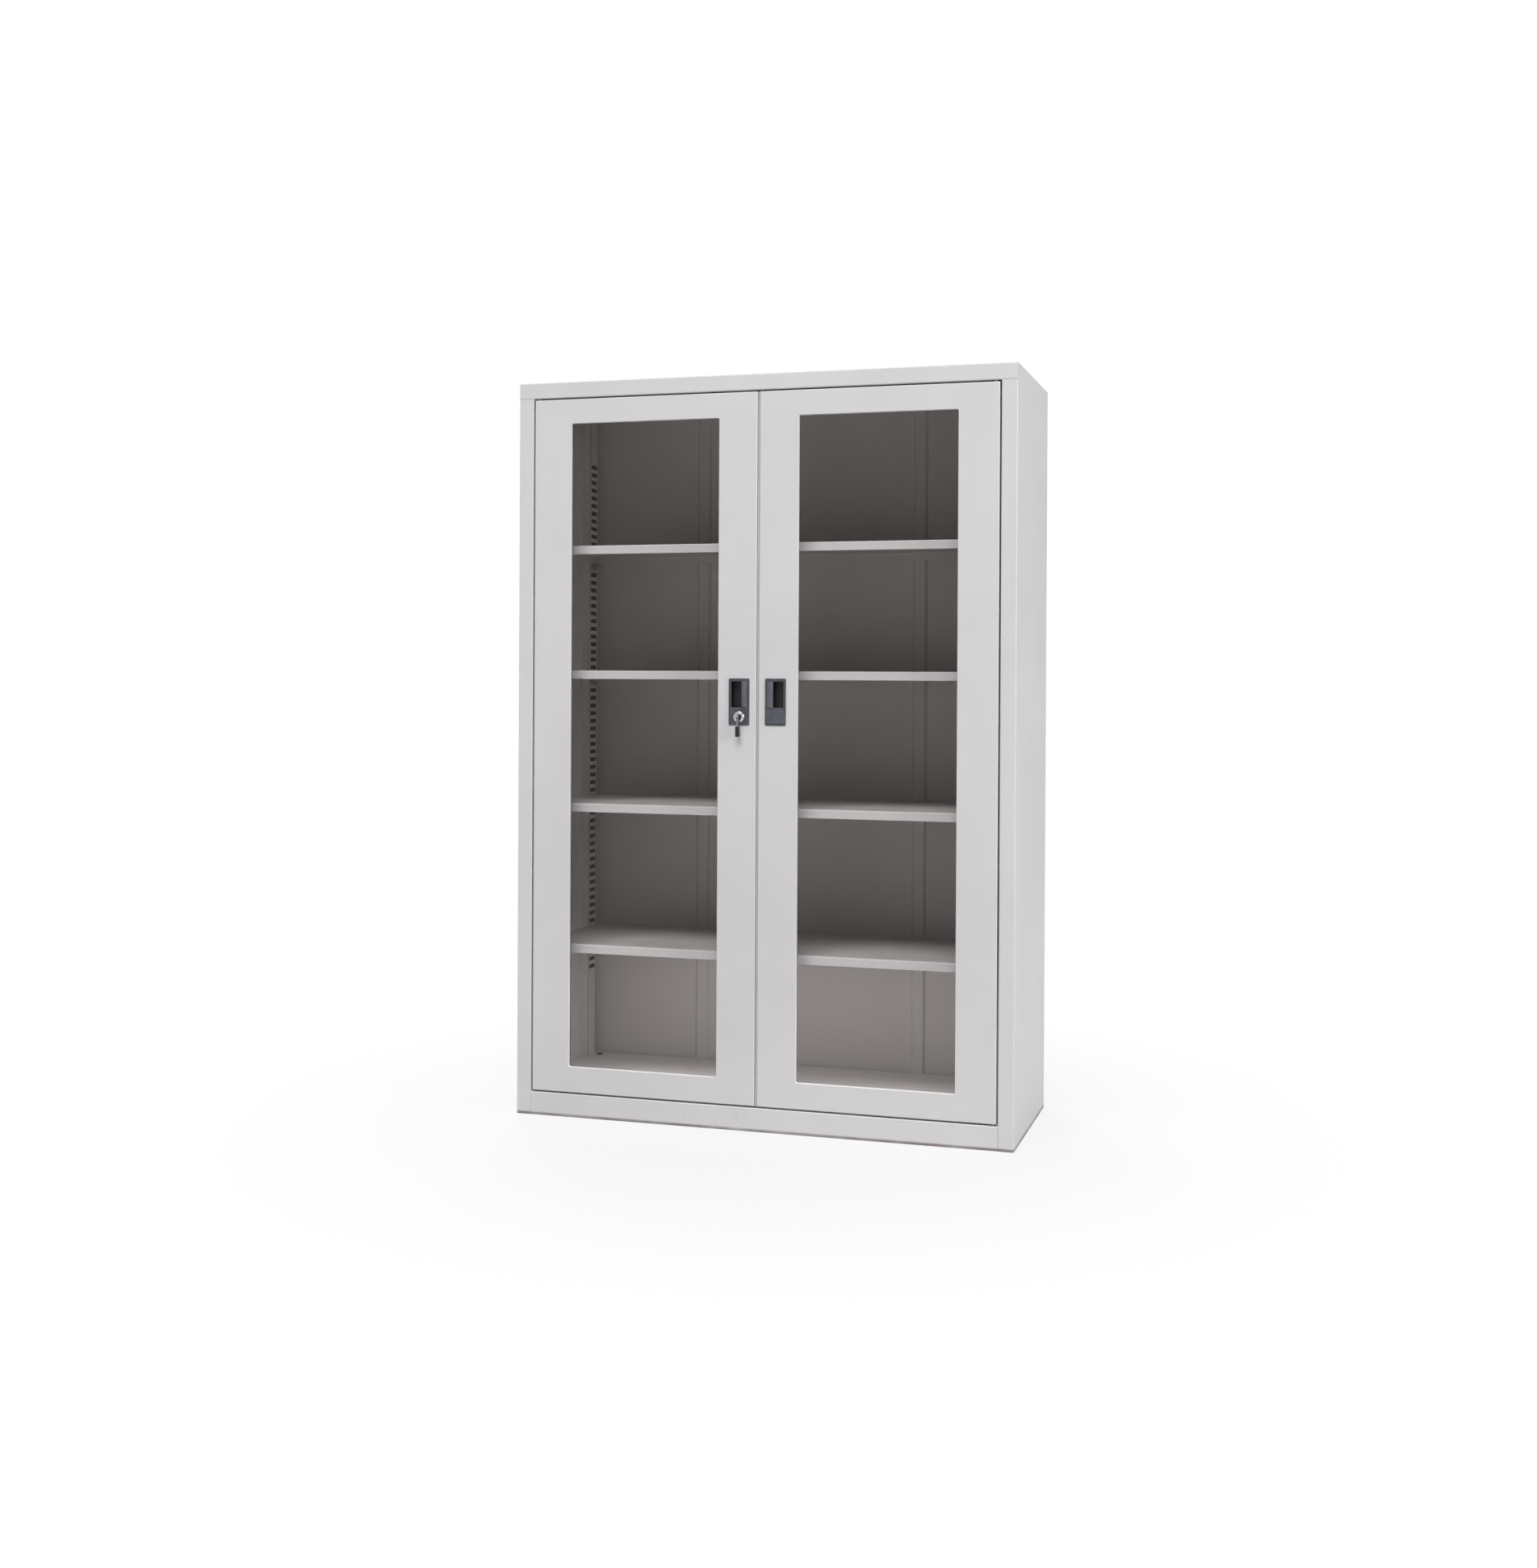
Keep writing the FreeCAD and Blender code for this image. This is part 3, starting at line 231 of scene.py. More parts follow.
world = bpy.data.worlds.new("white_studio")
world.use_nodes = True
scene.world = world
studio = Graph(world.node_tree)
dim = studio.node("ShaderNodeBackground", sockets={"Color": WHITE, "Strength": AMBIENT})
bright = studio.node("ShaderNodeBackground", sockets={"Color": WHITE, "Strength": 1.0})
surround = studio.node("ShaderNodeMixShader", sockets={0: seen_directly(studio), 1: dim, 2: bright})
studio.node("ShaderNodeOutputWorld", sockets={"Surface": surround})
print("surroundings: ambient", AMBIENT, "and", MIRRORED, "in reflections")

# %% [markdown]
# The floor is one pale sheet. Close to the cabinet it takes its shade, so that the plinth
# stands on something, and further out it fades to the white of the background. It is a mix
# of a matt grey, which catches shade, and plain white light, by distance from the middle.

# %% Pale floor
FLOOR_SIDE = 60.0
FLOOR_GREY = srgb(196, 196, 196)
SHADE_NEAR, SHADE_FAR = 0.3, 1.5
WHITE_NEAR = 0.8

floor_mesh = bpy.data.meshes.new("studio_floor")
half = FLOOR_SIDE / 2
corners = [(-half, -half, 0), (half, -half, 0), (half, half, 0), (-half, half, 0)]
floor_mesh.from_pydata(corners, [], [(0, 1, 2, 3)])
floor = bpy.data.objects.new("studio_floor", floor_mesh)
scene.collection.objects.link(floor)
pale = bpy.data.materials.new("pale_floor")
pale.use_nodes = True
ground = Graph(pale.node_tree)
spot = ground.node("ShaderNodeTexCoord", out="Object")
away = ground.node("ShaderNodeVectorMath", {"operation": "LENGTH"}, {0: spot}, out="Value")
fade = ground.ramp(away, SHADE_NEAR, SHADE_FAR) * (1 - WHITE_NEAR) + WHITE_NEAR
matt = ground.node("ShaderNodeBsdfDiffuse", sockets={"Color": FLOOR_GREY})
plain = ground.node("ShaderNodeEmission", sockets={"Color": WHITE, "Strength": 1.0})
shown = seen_directly(ground) * fade
cover = ground.node("ShaderNodeMixShader", sockets={0: shown, 1: matt, 2: plain})
ground.node("ShaderNodeOutputMaterial", sockets={"Surface": cover})
floor_mesh.materials.append(pale)
print("floor", FLOOR_SIDE, "m wide")

# %% [markdown]
# Every finish starts alike: a new material, a graph to write it in, and Object coordinates,
# which hold a pattern still on its piece when the piece moves. The shader's sockets go by
# their own names, and bumps are chained from the coarsest to the finest. Each finish is kept
# under the name of the record's slot that it belongs to.

# %% Start of a finish, its shader and its bumps
finishes = {}


def finish(name):
    material = bpy.data.materials.new(name)
    material.use_nodes = True
    graph = Graph(material.node_tree)
    place = graph.node("ShaderNodeTexCoord", out="Object")
    return material, graph, place


def shade(graph, sockets):
    surface = graph.node("ShaderNodeBsdfPrincipled", sockets=sockets)
    graph.node("ShaderNodeOutputMaterial", sockets={"Surface": surface})


def bumps(graph, *layers):
    normal = None
    for height, depth in layers:
        sockets = {"Height": height, "Distance": depth, "Strength": 1.0}
        if normal is not None:
            sockets["Normal"] = normal
        normal = graph.node("ShaderNodeBump", sockets=sockets)
    return normal


def keep(slot, material):
    finishes[slot] = material
    print(slot, "finish:", len(material.node_tree.nodes), "nodes")


print("finish helpers ready")

# %% [markdown]
# One paint covers the whole case, but its colour changes by place: it is darker inside the
# case and in the slotted strips, as painted shade, and on shelf tops, as painted shade and
# wear. Separate materials would need separate meshes, so masks do it, made of boxes. Distance
# from a middle point folds space, so that one corner of the box stands for all eight, and the
# largest step past that corner tells inside from outside.

# %% Masks from boxes
FADE = 0.4 * MM


def vector(graph, operation, first, second=(0, 0, 0)):
    return graph.node("ShaderNodeVectorMath", {"operation": operation}, {0: first, 1: second})


def axis(graph, place, name):
    return graph.node("ShaderNodeSeparateXYZ", sockets={"Vector": place}, out=name)


def folded(graph, place, middle=(0, 0, 0)):
    return vector(graph, "ABSOLUTE", vector(graph, "SUBTRACT", place, middle))


def inside(graph, place, middle, reach):
    past = vector(graph, "SUBTRACT", folded(graph, place, middle), reach)
    furthest = axis(graph, past, "X")
    for name in "YZ":
        furthest = graph.math("MAXIMUM", furthest, axis(graph, past, name))
    return 1 - graph.ramp(furthest, -FADE, 0.0)


print("masks fade over", FADE / MM, "mm")

# %% [markdown]
# The boxes come from the frame. The inside of the case is the box of its panels, less half a
# sheet, and less the grooves of the two ribs, which the back panel shows to the outside: they
# narrow with depth, as a pressed rib does. Folding once more about the point between the four
# strips lays them all on one, so that one box serves them. Shelf tops are thin layers.

# %% Places that take painted shade and wear
SHEET = 1.0 * MM
RIB_X, RIB_WIDTH, RIB_DEPTH = 285 * MM, 36 * MM, 6 * MM
STRIP_FLANGE = 10.0 * MM


def rib_grooves(graph, place):
    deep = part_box("back_panel")[1].y - axis(graph, place, "Y")
    across = axis(graph, folded(graph, folded(graph, place), (RIB_X, 0, 0)), "X")
    past = graph.math("MAXIMUM", deep - RIB_DEPTH, across + deep - RIB_WIDTH / 2)
    return 1 - graph.ramp(past, 0.0, SHEET / 2)


def inside_case(graph, place):
    low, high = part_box("left_side_panel")[0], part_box("right_side_panel")[1]
    high.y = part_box("back_panel")[1].y
    skin = Vector((SHEET, SHEET, SHEET)) / 2
    hollow = inside(graph, place, (low + high) / 2, (high - low) / 2 - skin)
    return hollow * (1 - rib_grooves(graph, place))


# This mask places painted shade in the slotted strips.
def inside_strips(graph, place):
    front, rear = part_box("right_front_shelf_strip"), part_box("right_rear_shelf_strip")
    middle = (rear[0] + rear[1]) / 2
    between = Vector((0, (front[0].y + rear[1].y) / 2, middle.z))
    to_wall = Vector((FADE, 0, 0))
    reach = (rear[1] - rear[0]) / 2 - Vector((0, STRIP_FLANGE, 0))
    return inside(graph, folded(graph, place, between), middle - between + to_wall, reach + to_wall)


def shelf_tops(graph, place):
    low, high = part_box("bottom_shelf")[0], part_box("top_shelf")[1]
    lift = Vector((0, 0, FADE))
    stack = inside(graph, place, (low + high) / 2, (high - low) / 2 + lift)
    height = axis(graph, place, "Z")
    tops = 0
    for shelf in shelves:
        off = graph.math("ABSOLUTE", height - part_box(shelf)[1].z)
        tops = tops + (1 - graph.ramp(off, 0.0, FADE))
    return tops * stack


shelves = [name for name in nodes if name.endswith("_shelf")]

# %% [markdown]
# Near the floor, shoes and mops leave grey marks, and right at the floor a dark line is
# painted: painted shade, standing for the contact shadow under the plinth. Both are noise,
# held to the plinth by masks on height. The shelf tops are greyed behind the lip, as painted
# shade together with the wear of trays that are pushed in and out. Patches of a coarse noise
# keep the painted shadow and the greyed shelf tops from lying evenly.

# %% Marks of use, and painted shade at the floor and on shelf tops
PATCHES, PATCH_RANGE = dict(scale=7.0, detail=5.0, rough=0.6), (0.25, 0.6)
RUBS, RUB_RANGE = dict(scale=38.0, detail=6.0, rough=0.7), (0.56, 0.74)
RUB_TOP, RUB_MOST = 75 * MM, 0.4
# Painted shade: the dark line at the floor is the contact shadow under the plinth, full up to the
# first height and gone at the second.
CONTACT_SHADOW_FULL, CONTACT_SHADOW_TOP = 4 * MM, 9 * MM
CONTACT_SHADOW_LEAST, CONTACT_SHADOW_PATCHY = 0.4, 0.5
# Painted shade and tray wear on the shelf tops, from behind the lip backwards.
SHELF_TOP_FROM, SHELF_TOP_TO = -170 * MM, -145 * MM
SHELF_TOP_LEAST, SHELF_TOP_PATCHY = 0.6, 0.3


def mop_marks(graph, place):
    low = 1 - graph.ramp(axis(graph, place, "Z"), 0.0, RUB_TOP)
    return graph.ramp(graph.noise(place, **RUBS), *RUB_RANGE) * low * RUB_MOST


# Painted shade: a dark line along the floor for the contact shadow under the plinth, broken up by
# patches.
def contact_shadow_line(graph, place, patches):
    line = 1 - graph.ramp(axis(graph, place, "Z"), CONTACT_SHADOW_FULL, CONTACT_SHADOW_TOP)
    return line * (patches * CONTACT_SHADOW_PATCHY + CONTACT_SHADOW_LEAST)


# Painted shade on the shelf tops behind the lip, together with tray wear.
def shelf_top_shade_and_wear(graph, place, patches):
    behind_lip = graph.ramp(axis(graph, place, "Y"), SHELF_TOP_FROM, SHELF_TOP_TO)
    return shelf_tops(graph, place) * behind_lip * (patches * SHELF_TOP_PATCHY + SHELF_TOP_LEAST)


# The second number is the height of the painted contact shadow at the floor.
print("marks reach", round(RUB_TOP / MM), "mm up, grime", round(CONTACT_SHADOW_TOP / MM), "mm")

# %% [markdown]
# Powder coat is melted plastic: a pale grey skin with a fine orange peel, a faint cloudiness
# where it lies thicker, and sheet steel under it that is never quite flat. Three noises at
# those three sizes do it. The coat is coloured darker towards the back of the case, and dark
# grey inside the slotted strips: both are painted shade. A single colour would look flat, so
# six more are laid over the first, each by its own mask.

# %% Powder coat
PAINT, PAINT_THICK = srgb(211, 209, 211), srgb(217, 215, 216)
# The second colour here is painted shade: the contact shadow at the floor.
RUBBED, CONTACT_SHADOW = srgb(176, 173, 170), srgb(118, 104, 105)
# All three colours here are painted shade: darker paint inside the case, darker shelf tops (together
# with tray wear), and dark slots in the strips.
INTERIOR_SHADE, SHELF_TOP_SHADE_AND_WEAR, SLOT_SHADE = srgb(203, 199, 196), srgb(170, 167, 164), srgb(108, 104, 100)
# Depth over which the painted shade inside the case grows to full.
INTERIOR_SHADE_FROM, INTERIOR_SHADE_TO = -172 * MM, 200 * MM
CLOUDS, CLOUD_RANGE = dict(scale=2.6, detail=3.0), (0.3, 0.7)
PEEL, PEEL_DEPTH = dict(scale=420.0, detail=1.0), 0.03 * MM
WAVES, WAVE_DEPTH = dict(scale=3.2, detail=1.0), 0.5 * MM
COAT_ROUGH, CLOUD_ROUGH, PEEL_ROUGH, RUB_ROUGH = 0.36, 0.12, 0.06, 0.2
COAT_IOR = 1.5


def powder_coat():
    material, graph, place = finish("powder_coat")
    cloud = graph.noise(place, **CLOUDS)
    peel = graph.noise(place, **PEEL)
    waves = graph.noise(place, **WAVES)
    patches = graph.ramp(graph.noise(place, **PATCHES), *PATCH_RANGE)
    rub = mop_marks(graph, place)
    # Painted shade: darker paint inside the case, growing towards the back.
    interior_shade = graph.ramp(axis(graph, place, "Y"), INTERIOR_SHADE_FROM, INTERIOR_SHADE_TO) * inside_case(graph, place)
    colour = graph.mix(graph.ramp(cloud, *CLOUD_RANGE), PAINT, PAINT_THICK)
    colour = graph.mix(rub, colour, RUBBED)
    # Painted shade: the contact shadow along the floor.
    colour = graph.mix(contact_shadow_line(graph, place, patches), colour, CONTACT_SHADOW)
    # Painted shade inside the case.
    colour = graph.mix(interior_shade, colour, INTERIOR_SHADE)
    # Painted shade and tray wear on the shelf tops.
    colour = graph.mix(shelf_top_shade_and_wear(graph, place, patches), colour, SHELF_TOP_SHADE_AND_WEAR)
    # Painted shade: dark grey in the slotted strips.
    colour = graph.mix(inside_strips(graph, place), colour, SLOT_SHADE)
    rough = COAT_ROUGH + cloud * CLOUD_ROUGH + peel * PEEL_ROUGH + rub * RUB_ROUGH
    normal = bumps(graph, (waves, WAVE_DEPTH), (peel, PEEL_DEPTH))
    shade(graph, {"Base Color": colour, "Roughness": rough, "Normal": normal, "IOR": COAT_IOR})
    return material


keep("cabinet_paint", powder_coat())

# %% [markdown]
# The panes are 4 mm float glass. A thin pane hardly bends what is seen through it, so it is
# written as a clear film that mirrors more at a flat angle: little head on, and rising with
# the fifth power of the slant. Lamps pass straight through it, and the inside stays clean of
# grain, which a refracting glass would bring. A cloudy smear of cleaning streaks softens the
# mirror here and there.

# %% Window glass
GLASS_TINT = (0.975, 0.966, 0.964, 1.0)
EVEN_BLEND = 0.5
MIRROR_LEAST, MIRROR_POWER = 0.014, 5.0
WIPE_STRETCH = (9.0, 1.0, 2.2)
SMEARS, SMEAR_RANGE = dict(scale=1.0, detail=4.0, rough=0.6), (0.45, 0.8)
GLASS_ROUGH, SMEAR_ROUGH = 0.02, 0.10


def window_glass():
    material, graph, place = finish("window_glass")
    slant = graph.node("ShaderNodeLayerWeight", sockets={"Blend": EVEN_BLEND}, out="Facing")
    mirror = slant ** MIRROR_POWER * (1 - MIRROR_LEAST) + MIRROR_LEAST
    wiped = graph.node("ShaderNodeMapping", sockets={"Vector": place, "Scale": WIPE_STRETCH})
    smear = graph.ramp(graph.noise(wiped, **SMEARS), *SMEAR_RANGE)
    clear = graph.node("ShaderNodeBsdfTransparent", sockets={"Color": GLASS_TINT})
    rough = GLASS_ROUGH + smear * SMEAR_ROUGH
    gloss = graph.node(
        "ShaderNodeBsdfPrincipled", sockets={"Base Color": WHITE, "Metallic": 1.0, "Roughness": rough}
    )
    pane = graph.node("ShaderNodeMixShader", sockets={0: mirror, 1: clear, 2: gloss})
    graph.node("ShaderNodeOutputMaterial", sockets={"Surface": pane})
    return material


keep("window_glass", window_glass())

# %% [markdown]
# Plastic and rubber take the surface of their mould, often a fine spark-eroded grain, and are
# polished where hands and cloths go. One recipe makes them all: two colours a little apart, a
# grain, and a sheen that follows both. The finger pocket is coloured nearly black: painted
# shade in the deep pocket, together with dust and hand grease that settle where no cloth
# reaches. So a piece with a pocket also darkens with its depth behind the door's face.

# %% One recipe for moulded pieces
WEAR_SCALE = 60.0
WEAR_FORM, WEAR_RANGE = dict(detail=4.0, rough=0.6), (0.42, 0.75)
GRAIN_DETAIL = 2.0
GRAIN_ROUGH, WEAR_POLISH = 0.12, 0.08
PLASTIC_IOR = 1.48
POCKET_START, POCKET_DEEP = -225.5 * MM, -219.0 * MM


def moulded(name, fresh, worn, rough, grain_scale, grain_depth, wear_scale=WEAR_SCALE, pocket=None):
    material, graph, place = finish(name)
    grain = graph.noise(place, grain_scale, GRAIN_DETAIL)
    wear = graph.ramp(graph.noise(place, wear_scale, **WEAR_FORM), *WEAR_RANGE)
    colour = graph.mix(wear, fresh, worn)
    # Painted shade, with grease: a pocket darkens with its depth behind the door's face.
    if pocket:
        depth = axis(graph, place, "Y")
        colour = graph.mix(graph.ramp(depth, POCKET_START, POCKET_DEEP), colour, pocket)
    rough = rough + grain * GRAIN_ROUGH - wear * WEAR_POLISH
    normal = bumps(graph, (grain, grain_depth))
    shade(graph, {"Base Color": colour, "Roughness": rough, "Normal": normal, "IOR": PLASTIC_IOR})
    return material


print("pocket darkens over", round((POCKET_DEEP - POCKET_START) / MM, 2), "mm")

# %% [markdown]
# The handles are dark grey, the spare lock place is closed by a slightly lighter cover, and
# the key has a black moulded head. Their grain is fine, given by its scale and its depth. The
# nylon guides, the catches, the strip between the doors and the rubber of seals, buffers and
# caps differ from these only in colour, sheen and grain.

# %% Moulded plastics and rubber
SPARK_GRAIN = dict(grain_scale=2600.0, grain_depth=0.04 * MM)
SMOOTH_GRAIN = dict(grain_scale=1800.0, grain_depth=0.02 * MM)


def handle_plastic():
    # The third colour is painted shade in the finger pocket, together with its grease.
    dark, worn, pocket_shade_and_grease = srgb(68, 69, 76), srgb(82, 83, 91), srgb(24, 24, 27)
    return moulded("handle_plastic", dark, worn, rough=0.42, pocket=pocket_shade_and_grease, **SPARK_GRAIN)


def blank_plastic():
    return moulded("blank_plastic", srgb(80, 83, 92), srgb(91, 94, 103), rough=0.42, **SPARK_GRAIN)


def key_plastic():
    grain = dict(grain_scale=3200.0, grain_depth=0.03 * MM)
    return moulded("key_plastic", srgb(27, 27, 29), srgb(42, 42, 45), rough=0.38, **grain)


def nylon():
    return moulded("nylon", srgb(198, 195, 184), srgb(186, 182, 169), rough=0.46, **SMOOTH_GRAIN)


def catch_plastic():
    grain = dict(grain_scale=2200.0, grain_depth=0.03 * MM)
    return moulded("catch_plastic", srgb(228, 228, 224), srgb(216, 215, 209), rough=0.44, **grain)


def strip_plastic():
    grain = dict(grain_scale=900.0, grain_depth=0.02 * MM, wear_scale=14.0)
    return moulded("strip_plastic", srgb(192, 192, 190), srgb(182, 181, 178), rough=0.5, **grain)


def seal_rubber():
    grain = dict(grain_scale=1500.0, grain_depth=0.03 * MM, wear_scale=25.0)
    return moulded("seal_rubber", srgb(52, 53, 54), srgb(74, 74, 73), rough=0.62, **grain)


keep("handle_plastic", handle_plastic())
keep("blank_plastic", blank_plastic())
keep("key_plastic", key_plastic())
keep("nylon", nylon())
keep("catch_plastic", catch_plastic())
keep("strip_plastic", strip_plastic())
keep("seal_rubber", seal_rubber())

# %% [markdown]
# Bare metal shows how it was worked. The lock's ring is chromed: nearly a mirror, dulled by
# touch, while the plug in it is coloured dark grey, as painted shade for the dark middle of
# the lock. The key is darkened nickel, drawn so that its streaks run along it. Zinc plate on
# the rods, nuts and clips is passivated: a dull silver that drifts from blue to straw in small
# clouds. One recipe serves again, with a noise that is stretched along the way the metal was
# worked.

# %% Metals
STREAKS, STREAK_DEPTH = dict(scale=1.0, detail=3.0, rough=0.65), 0.008 * MM
TARNISH_FORM, TARNISH_RANGE = dict(detail=4.0, rough=0.6), (0.3, 0.72)
STREAK_ROUGH, TARNISH_ROUGH = 0.10, 0.08
TURNED, DRAWN, ROLLED = (900.0, 60.0, 900.0), (2400.0, 2400.0, 120.0), (800.0, 800.0, 40.0)


def metal(name, bright, dull, rough, worked, tarnish_scale):
    material, graph, place = finish(name)
    stretched = graph.node("ShaderNodeMapping", sockets={"Vector": place, "Scale": worked})
    lines = graph.noise(stretched, **STREAKS)
    tarnish = graph.ramp(graph.noise(place, tarnish_scale, **TARNISH_FORM), *TARNISH_RANGE)
    colour = graph.mix(tarnish, bright, dull)
    rough = rough + lines * STREAK_ROUGH + tarnish * TARNISH_ROUGH
    normal = bumps(graph, (lines, STREAK_DEPTH))
    shade(graph, {"Base Color": colour, "Metallic": 1.0, "Roughness": rough, "Normal": normal})
    return material


def lock_chrome():
    bright, dull = srgb(226, 227, 230), srgb(214, 215, 219)
    return metal("lock_chrome", bright, dull, rough=0.05, worked=TURNED, tarnish_scale=160.0)


# Painted shade: the plug is coloured dark for the dark middle of the lock.
def plug_zinc():
    bright, dull = srgb(52, 52, 54), srgb(66, 65, 65)
    return metal("plug_zinc", bright, dull, rough=0.34, worked=TURNED, tarnish_scale=220.0)


def key_steel():
    bright, dull = srgb(162, 161, 158), srgb(144, 143, 140)
    return metal("key_steel", bright, dull, rough=0.24, worked=DRAWN, tarnish_scale=180.0)


def zinc_steel():
    bluish, straw = srgb(186, 190, 195), srgb(197, 193, 178)
    return metal("zinc_steel", bluish, straw, rough=0.30, worked=ROLLED, tarnish_scale=70.0)


keep("lock_chrome", lock_chrome())
keep("plug_zinc", plug_zinc())
keep("key_steel", key_steel())
keep("zinc_steel", zinc_steel())

# %% [markdown]
# The record says which slot each node takes its finish from, so the nodes that stay as they
# are only need their slots filled. The pivot bushes are nylon too, but coloured dark grey as
# painted shade for the door gap that they sit in, so they get a finish of their own.

# %% Give every node its finish
# Painted shade: the pivot bushes are coloured dark for the gap they sit in.
def shaded_nylon():
    return moulded("shaded_nylon", srgb(112, 109, 103), srgb(92, 89, 84), rough=0.40, **SMOOTH_GRAIN)


def painted(node, material):
    for held in nodes[node].material_slots:
        held.material = material


slot_of = {part["node"]: part["material_slot"] for part in frame["record"]["subparts"]}
for name in nodes:
    painted(name, finishes[slot_of[name]])
painted("pivot_bushes", shaded_nylon())
print("finishes:", len(finishes), "on", len(slot_of), "nodes")

# %% [markdown]
# A new piece is a mesh that rides on the body of the real one and takes its slot. A node's
# mesh is loose triangles, so a copy is merged before anything is made from it. Edges that
# turn by more than a limit stay sharp, and the rest are shaded smooth.

# %% From a mesh to a piece of the cabinet
WELD = 0.004 * MM
SHARP = math.radians(32)
bodies = frame["record"]["behaviour"]["bodies"]
body_of = {node: body for body, held in bodies.items() for node in held}


def merged(mesh):
    shape = bmesh.new()
    shape.from_mesh(mesh)
    bmesh.ops.remove_doubles(shape, verts=shape.verts, dist=WELD)
    return shape


def soft_shaded(mesh):
    mesh.shade_smooth()
    mesh.set_sharp_from_angle(angle=SHARP)


def written(shape, mesh):
    shape.to_mesh(mesh)
    shape.free()
    soft_shaded(mesh)


def piece_of(name, mesh):
    piece = bpy.data.objects.new(name, mesh)
    scene.collection.objects.link(piece)
    return piece


def dress(piece, body, slot, *replaced, material=None):
    piece.data.materials.clear()
    piece.data.materials.append(material or finishes[slot])
    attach(piece, body)
    if replaced:
        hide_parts(*replaced)


print("bodies to ride on:", ", ".join(bodies))

# %% [markdown]
# A solid straight from construction has knife edges, and real mouldings, turned pieces and
# cut steel never do: the little round along an edge is what catches the light. A bevel gives
# it, but only on a clean mesh, so the flat triangles of the merged copy are dissolved into
# whole faces first, and the rounded copy then stands for the node. The handles have thin ribs
# behind them that a bevel would run through, so there it keeps to the front face.

# %% Rounded copies of the small hard pieces
FLAT = math.radians(0.6)
ROUND_STEPS, ROUND_PROFILE = 2, 0.5
FRONT_ROUNDED = ("left_handle_cup", "right_handle_cup")
EDGE_ROUNDS = {
    "left_handle_cup": 0.5 * MM,
    "right_handle_cup": 0.5 * MM,
    "lock_blank": 0.4 * MM,
    "lock_barrel": 0.35 * MM,
    "lock_plug": 0.2 * MM,
    "lock_nut": 0.3 * MM,
    "lock_cam": 0.3 * MM,
    "key_blade": 0.25 * MM,
    "key_tang": 0.3 * MM,
    "key_head": 0.7 * MM,
    "upper_lock_rod": 0.3 * MM,
    "lower_lock_rod": 0.3 * MM,
    "cam_screw": 0.5 * MM,
    "rod_guides": 0.5 * MM,
    "magnetic_catches": 1.0 * MM,
    "left_strike_plate": 0.3 * MM,
    "right_strike_plate": 0.3 * MM,
    "left_pivot_pins": 0.4 * MM,
    "right_pivot_pins": 0.4 * MM,
    "door_buffers": 1.6 * MM,
}


def edges_to_round(name, shape):
    edges = [edge for edge in shape.edges if edge.calc_face_angle(0.0) > SHARP]
    if name not in FRONT_ROUNDED:
        return edges
    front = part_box(name)[0].y + WELD
    return [edge for edge in edges if all(vert.co.y < front for vert in edge.verts)]


def rounded_copy(name, radius):
    shape = merged(nodes[name].data)
    bmesh.ops.dissolve_limit(shape, angle_limit=FLAT, verts=shape.verts, edges=shape.edges)
    bmesh.ops.bevel(
        shape,
        geom=edges_to_round(name, shape),
        affect="EDGES",
        offset=radius,
        segments=ROUND_STEPS,
        profile=ROUND_PROFILE,
    )
    mesh = bpy.data.meshes.new(name + "_rounded")
    written(shape, mesh)
    dress(piece_of(name + "_rounded", mesh), body_of[name], slot_of[name], name)
    return len(mesh.polygons)


for name, radius in EDGE_ROUNDS.items():
    print(name, rounded_copy(name, radius), "faces")

# %% [markdown]
# Fingers pull on a lip beside the pocket. On the real moulding it is a smooth swelling that
# rolls over into the pocket. Its section is one closed outline, round where the fingers go
# and straight where it lies on the plate, in millimetres from the meeting edge and behind the
# handle's face. A flat curve with that outline, drawn out along the lip and rounded at both
# ends, is the whole job, where a sculpted mesh would need many points.

# %% Outline of a pull lip
LIP_OUTLINE = (
    (6.0, -0.2, "VECTOR"),
    (9.5, -1.0, "AUTO"),
    (14.0, -1.5, "AUTO"),
    (17.4, -0.3, "AUTO"),
    (19.3, 2.2, "AUTO"),
    (18.4, 3.6, "VECTOR"),
    (17.6, 0.6, "VECTOR"),
    (7.0, 0.6, "VECTOR"),
)
LIP_ROUND, LIP_ROUND_STEPS = 0.7 * MM, 2
LIP_CURVE_STEPS = 5
LIP_SHORT = 1.2 * MM
MOUTH_LOW, MOUTH_HIGH = 980 * MM, 1040 * MM


def lip_curve(hand, way):
    low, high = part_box(hand + "_handle_cup")
    meeting_edge = high.x if way < 0 else low.x
    outline = bpy.data.curves.new(hand + "_pull_lip", "CURVE")
    outline.dimensions = "2D"
    outline.fill_mode = "BOTH"
    outline.resolution_u = LIP_CURVE_STEPS
    outline.extrude = (MOUTH_HIGH - MOUTH_LOW) / 2 - LIP_SHORT
    outline.bevel_depth = LIP_ROUND
    outline.bevel_resolution = LIP_ROUND_STEPS
    outline.offset = -LIP_ROUND
    spline = outline.splines.new("BEZIER")
    spline.use_cyclic_u = True
    spline.bezier_points.add(len(LIP_OUTLINE) - 1)
    for point, (across, deep, bend) in zip(spline.bezier_points, LIP_OUTLINE):
        point.handle_left_type = bend
        point.handle_right_type = bend
        point.co = (meeting_edge + way * across * MM, low.y + deep * MM, 0)
    return piece_of("lip_outline", outline)


print("lip stands out", -min(deep for across, deep, bend in LIP_OUTLINE), "mm")

# %% [markdown]
# The curve becomes a mesh before it is lifted to its height, so that its place is in the mesh
# and the piece itself stays at the origin. The lip takes a plastic of its own, paler than the
# rest of the handle, as a painted highlight for the light that the lip catches.

